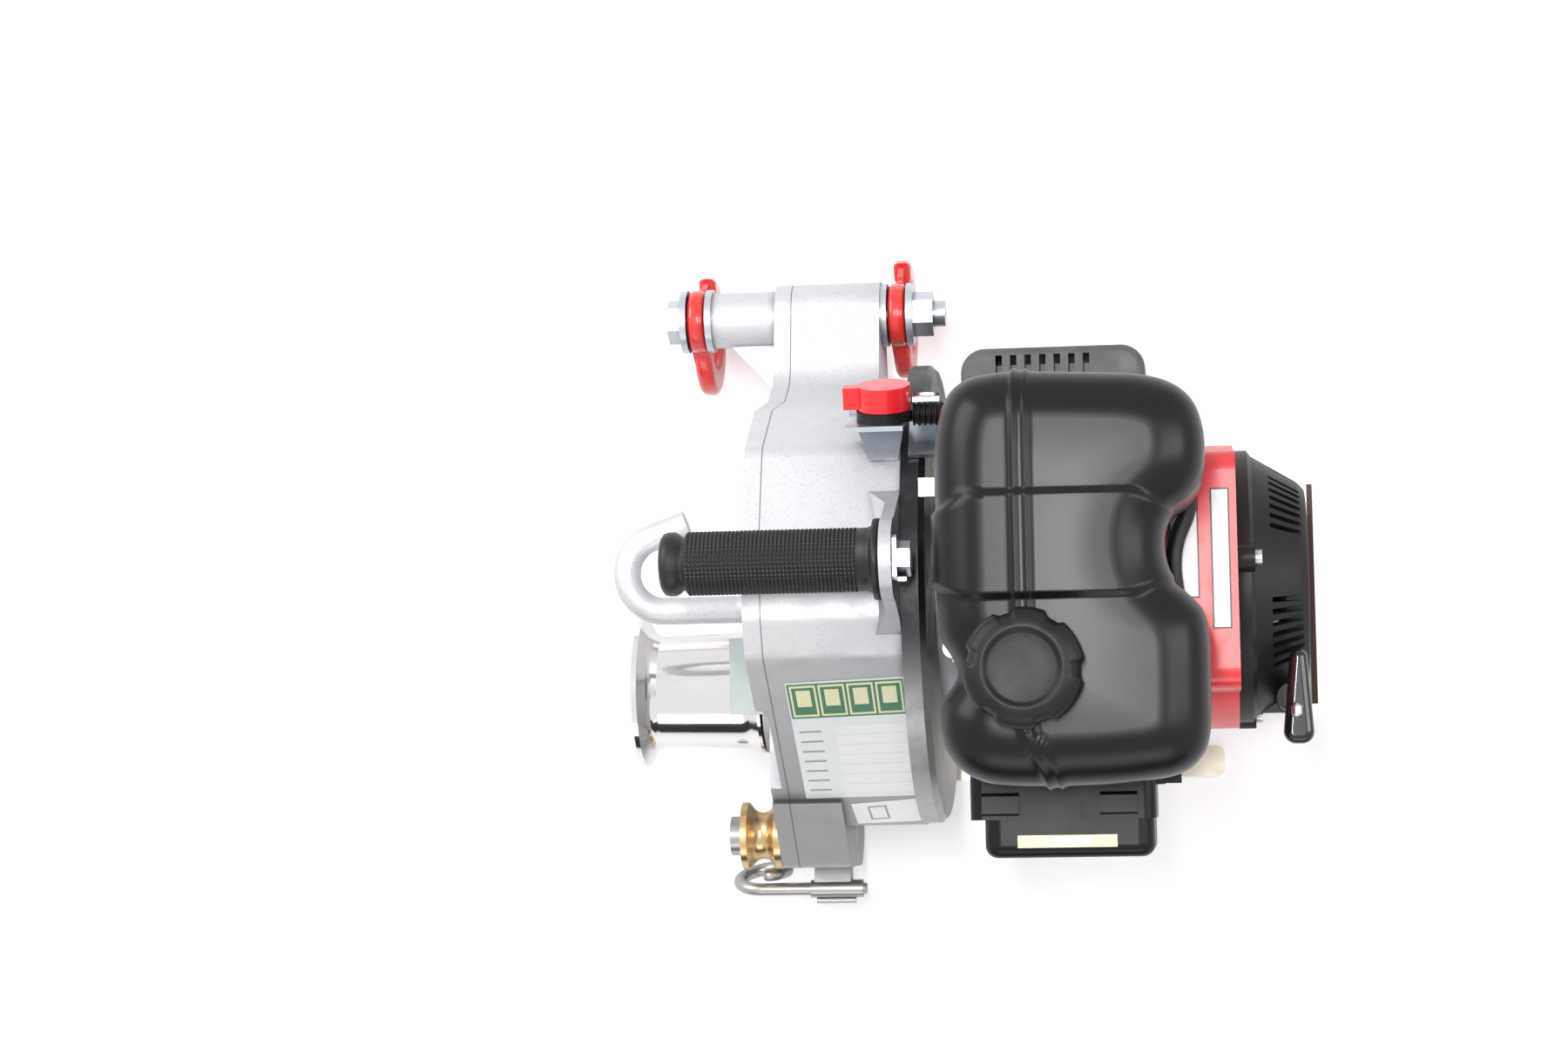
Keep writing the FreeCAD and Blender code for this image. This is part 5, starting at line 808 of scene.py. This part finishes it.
def grip_sleeve():
    left, right = -125.0, -18.0
    flange = right - 3.6
    start, end = left + 13.0, flange - 8.0
    pitch = 1.95
    columns = round((end - start) / pitch)
    squares = 46
    across = 5
    count = squares * across
    rows = [(left, 0.2), (left, 9.5), (left + 0.6, 12.6), (left + 2.2, 14.9), (left + 4.5, 15.5),
            (left + 7.5, 15.4), (left + 9.6, 14.2), (left + 10.6, 13.2), (left + 12.0, 13.0)]
    stations = [(x, r, 0.0) for x, r in rows]
    for k in range(columns):
        x = start + (end - start) * k / columns
        step = (end - start) / columns
        stations += [(x, 14.6, 0.0), (x + step * 0.22, 14.7, 0.0), (x + step * 0.34, 14.7, 0.75),
                     (x + step * 0.86, 14.7, 0.75), (x + step * 0.98, 14.7, 0.0)]
    stations += [(end, 14.6, 0.0), (end + 0.3, 15.2, 0.0), (flange - 3.0, 15.3, 0.0), (flange - 1.0, 16.2, 0.0),
                 (flange - 0.2, 18.2, 0.0), (flange, 19.4, 0.0), (flange + 1.0, 19.6, 0.0), (right, 19.6, 0.0),
                 (right, 8.5, 0.0)]
    verts = []
    for x, radius, lift in stations:
        for i in range(count):
            a = FULL_TURN * i / count
            high = lift if i % across in (1, 2, 3) else 0.0
            out = radius + high
            verts.append((x, GRIP_Y + out * math.cos(a), GRIP_Z + out * math.sin(a)))
    faces = rows_of_faces(len(stations), count)
    faces.append(tuple(range(count)))
    faces.append(tuple((len(stations) - 1) * count + i for i in range(count)))
    piece = new_piece("grip_sleeve", verts, faces, "black_rubber", "frame")
    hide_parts("handle_grip")


# Bare plates where the makers fix a rating plate and stickers.
def thin_plate(name, corners, thick, finish, body):
    """A thin sheet from four corners, standing off along its own normal."""
    points = [Vector(c) for c in corners]
    normal = (points[1] - points[0]).cross(points[3] - points[0]).normalized()
    verts = [tuple(p) for p in points] + [tuple(p + normal * thick) for p in points]
    faces = [(3, 2, 1, 0), (4, 5, 6, 7), (0, 1, 5, 4), (1, 2, 6, 5), (2, 3, 7, 6), (3, 0, 4, 7)]
    return new_piece(name, verts, faces, finish, body, smooth=False)


# Corners on the housing's front slope: low left, low right, high right, high left.
RATING_PLATE = [(-72.3, -105.1, 132.8), (-14.1, -104.3, 133.8), (-13.0, -45.9, 215.2), (-72.8, -48.0, 212.3)]
SMALL_LABEL = [(-47.6, -118.7, 113.9), (-11.8, -117.5, 115.4), (-14.0, -106.0, 131.5), (-49.6, -108.4, 128.2)]
SLOPE_OUT = Vector((0.0, -0.8123, 0.5832))


def on_plate(plate, across, up, rise):
    """A point in the plate's own shares of width and height, lifted off the slope."""
    low_left, low_right, high_right, high_left = (Vector(c) for c in plate)
    low = low_left.lerp(low_right, across)
    high = high_left.lerp(high_right, across)
    return low.lerp(high, up) + SLOPE_OUT * rise


def field(name, plate, left, right, low, high, finish, rise):
    corners = [on_plate(plate, left, low, rise), on_plate(plate, right, low, rise),
               on_plate(plate, right, high, rise), on_plate(plate, left, high, rise)]
    thin_plate(name, corners, 0.12, finish, "frame")


def label_plates():
    field("rating_plate", RATING_PLATE, 0.0, 1.0, 0.0, 1.0, "label_foil", 0.12)
    field("rating_head", RATING_PLATE, 0.012, 0.988, 0.70, 0.985, "label_green", 0.2)
    for k in range(4):
        left = 0.03 + k * 0.241
        field(f"rating_frame_{k}", RATING_PLATE, left, left + 0.222, 0.715, 0.972, "label_pale", 0.28)
        field(f"rating_field_{k}", RATING_PLATE, left + 0.018, left + 0.204, 0.732, 0.955, "label_green", 0.36)
        field(f"rating_blank_{k}", RATING_PLATE, left + 0.05, left + 0.172, 0.80, 0.935, "label_pale", 0.44)
    for k in range(7):
        low = 0.045 + k * 0.085
        field(f"rating_row_{k}", RATING_PLATE, 0.36, 0.965, low, low + 0.062, "print_white", 0.2)
        field(f"rating_mark_{k}", RATING_PLATE, 0.05, 0.24, low + 0.022, low + 0.036, "print_grey", 0.2)
    field("small_label", SMALL_LABEL, 0.0, 1.0, 0.0, 1.0, "print_white", 0.12)
    field("small_label_mark", SMALL_LABEL, 0.22, 0.5, 0.18, 0.82, "print_grey", 0.2)
    field("small_label_blank", SMALL_LABEL, 0.25, 0.47, 0.24, 0.76, "print_white", 0.28)


LAID_THICK = 0.15
ABOVE_ALL = 400.0


def laid_strip(name, node, left, right, front, rear, finish, body, rise, across=3, steps=14):
    """A thin sheet laid on top of a node, following its surface."""
    tree = BVHTree.FromObject(nodes_of_frame[node], bpy.context.evaluated_depsgraph_get())
    place = nodes_of_frame[node].matrix_world
    verts = []
    for thick in (0.0, LAID_THICK):
        for i in range(steps + 1):
            for j in range(across + 1):
                x = left + (right - left) * j / across
                y = front + (rear - front) * i / steps
                start = place.inverted() @ (Vector((x, y, ABOVE_ALL)) * MM)
                hit = tree.ray_cast(start, place.to_3x3().inverted() @ Vector((0, 0, -1)))[0]
                top = (place @ hit).z / MM
                verts.append((x, y, top + rise + thick))
    row = across + 1
    half = (steps + 1) * row
    faces = []
    for i in range(steps):
        for j in range(across):
            a = i * row + j
            faces.append((a, a + row, a + row + 1, a + 1))
            faces.append((half + a, half + a + 1, half + a + row + 1, half + a + row))
    rim = [j for j in range(row)] + [i * row + across for i in range(1, steps + 1)]
    rim += [steps * row + j for j in range(across - 1, -1, -1)] + [i * row for i in range(steps - 1, 0, -1)]
    for a, b in zip(rim, rim[1:] + rim[:1]):
        faces.append((a, b, half + b, half + a))
    return new_piece(name, verts, faces, finish, body, smooth=False)


def laid_labels():
    laid_strip("shroud_strip_edge", "fan_shroud", 138.4, 147.6, -27.0, 41.0, "print_black", "frame", 0.1)
    laid_strip("shroud_strip", "fan_shroud", 139.2, 146.8, -26.2, 40.2, "print_white", "frame", 0.3)
    laid_strip("shroud_label_edge", "fan_shroud", 118.5, 132.6, -12.0, 37.2, "print_black", "frame", 0.1)
    laid_strip("shroud_label", "fan_shroud", 119.3, 131.8, -11.2, 36.4, "print_white", "frame", 0.3)
    laid_strip("filter_strip", "air_cleaner_cover", 42.0, 90.0, -130.6, -124.6, "label_pale",
               "air_cover", 0.1, 14, 3)
    laid_strip("filter_strip_field", "air_cleaner_cover", 56.0, 78.0, -129.8, -125.4, "print_white",
               "air_cover", 0.3, 8, 3)


def tube(name, path, radii, finish, body, sides=20):
    """A closed round sweep along points, each with its own radius."""
    points = [Vector(p) for p in path]
    across = None
    verts = []
    for k, point in enumerate(points):
        way = (points[min(k + 1, len(points) - 1)] - points[max(k - 1, 0)]).normalized()
        if across is None:
            across = way.orthogonal().normalized()
        across = (across - way * across.dot(way)).normalized()
        other = way.cross(across)
        for i in range(sides):
            a = FULL_TURN * i / sides
            verts.append(tuple(point + (across * math.cos(a) + other * math.sin(a)) * radii[k]))
    faces = rows_of_faces(len(points), sides)
    faces.append(tuple(range(sides)))
    faces.append(tuple((len(points) - 1) * sides + i for i in range(sides)))
    return new_piece(name, verts, faces, finish, body)


def pigtail_hook():
    """The rope pigtail: a rod that turns into an open eye, leaning back from upright."""
    axis_y, axis_z = -154.5, 45.0
    rod_end = -50.5
    eye_x, eye = -108.5, 13.0
    rod_radius = 3.5
    end_aside = 8.2
    lean = math.radians(21)
    straight = 6
    path = [(rod_end + (eye_x - rod_end) * k / straight, 0.0, 0.0) for k in range(straight)]
    bends = 46
    for k in range(bends + 1):
        a = math.radians(90 + 352 * k / bends)
        aside = end_aside * smooth_step(0.35, 1.0, k / bends)
        path.append((eye_x + eye * math.cos(a), aside, eye * math.sin(a) - eye))
    placed = []
    for x, aside, drop in path:
        placed.append((x, axis_y + aside * math.cos(lean) - drop * math.sin(lean),
                       axis_z + drop * math.cos(lean) + aside * math.sin(lean)))
    radii = [2.9] + [rod_radius] * (len(placed) - 3) + [3.3, 2.4]
    piece = tube("pigtail_hook", placed, radii, "worn_steel", "pigtail")
    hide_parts("rope_pigtail")


def conduit_sleeve():
    """Corrugated conduit in place of the plain one."""
    left, right, y, z = -4.7, 17.8, 82.4, 226.7
    steps = 96
    rings = 8
    middle_radius, ripple = 5.35, 0.62
    path = [(left + (right - left) * k / steps, y, z) for k in range(steps + 1)]
    radii = [middle_radius + ripple * math.cos(FULL_TURN * rings * k / steps) for k in range(steps + 1)]
    piece = tube("conduit_sleeve", path, radii, "cap_plastic", "frame", 28)
    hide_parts("switch_conduit")


def grip_knot():
    """The starter rope's knot, sunk in the top of the pull grip."""
    x, y, z = 178.6, -65.5, 178.6
    half_long, thickest, tip = 4.2, 2.9, 0.2
    steps = 12
    path = []
    radii = []
    for k in range(steps + 1):
        a = math.pi * k / steps
        path.append((x, y - half_long * math.cos(a), z))
        radii.append(tip + thickest * math.sin(a) * (1.0 + 0.08 * math.cos(6 * a)))
    tube("grip_knot", path, radii, "zinc_plate", "pull_grip", 18)


def guard_shade_sheet():
    """A dark sheet between the muffler and the ribs of its guard: painted shade, standing in for the shade seen
    through the guard's openings.
    """
    left, right, y, low, high = 25.0, 103.0, 111.85, 158.0, 225.5
    corners = [(left, y, low), (right, y, low), (right, y, high), (left, y, high)]
    thin_plate("guard_shade_sheet", corners, 0.25, "heat_steel", "frame")


CATCH_PROFILE = [(-114.9, 227.3), (-114.9, 229.2), (-114.0, 230.0), (-105.6, 230.0), (-104.4, 229.2),
                 (-103.9, 227.3)]
CATCH_HALF = 9.0
CATCH_MIDDLES = (34.0, 91.0)


def filter_catches():
    """Two moulded catches on top of the air cleaner's base."""
    for k, middle in enumerate(CATCH_MIDDLES):
        verts = [(middle + side * CATCH_HALF, y, z) for side in (-1, 1) for y, z in CATCH_PROFILE]
        count = len(CATCH_PROFILE)
        faces = [tuple(range(count)), tuple(range(2 * count - 1, count - 1, -1))]
        faces += [(i, (i + 1) % count, count + (i + 1) % count, count + i) for i in range(count)]
        new_piece(f"filter_catch_{k}", verts, faces, "box_plastic", "frame", smooth=False)


set_camera()
set_light()
set_floor()
dark_flag()
dress_nodes()
laid_labels()
bevel_nodes()
tank_shell()
cap_shell()
grip_sleeve()
label_plates()
pigtail_hook()
conduit_sleeve()
grip_knot()
filter_catches()
guard_shade_sheet()
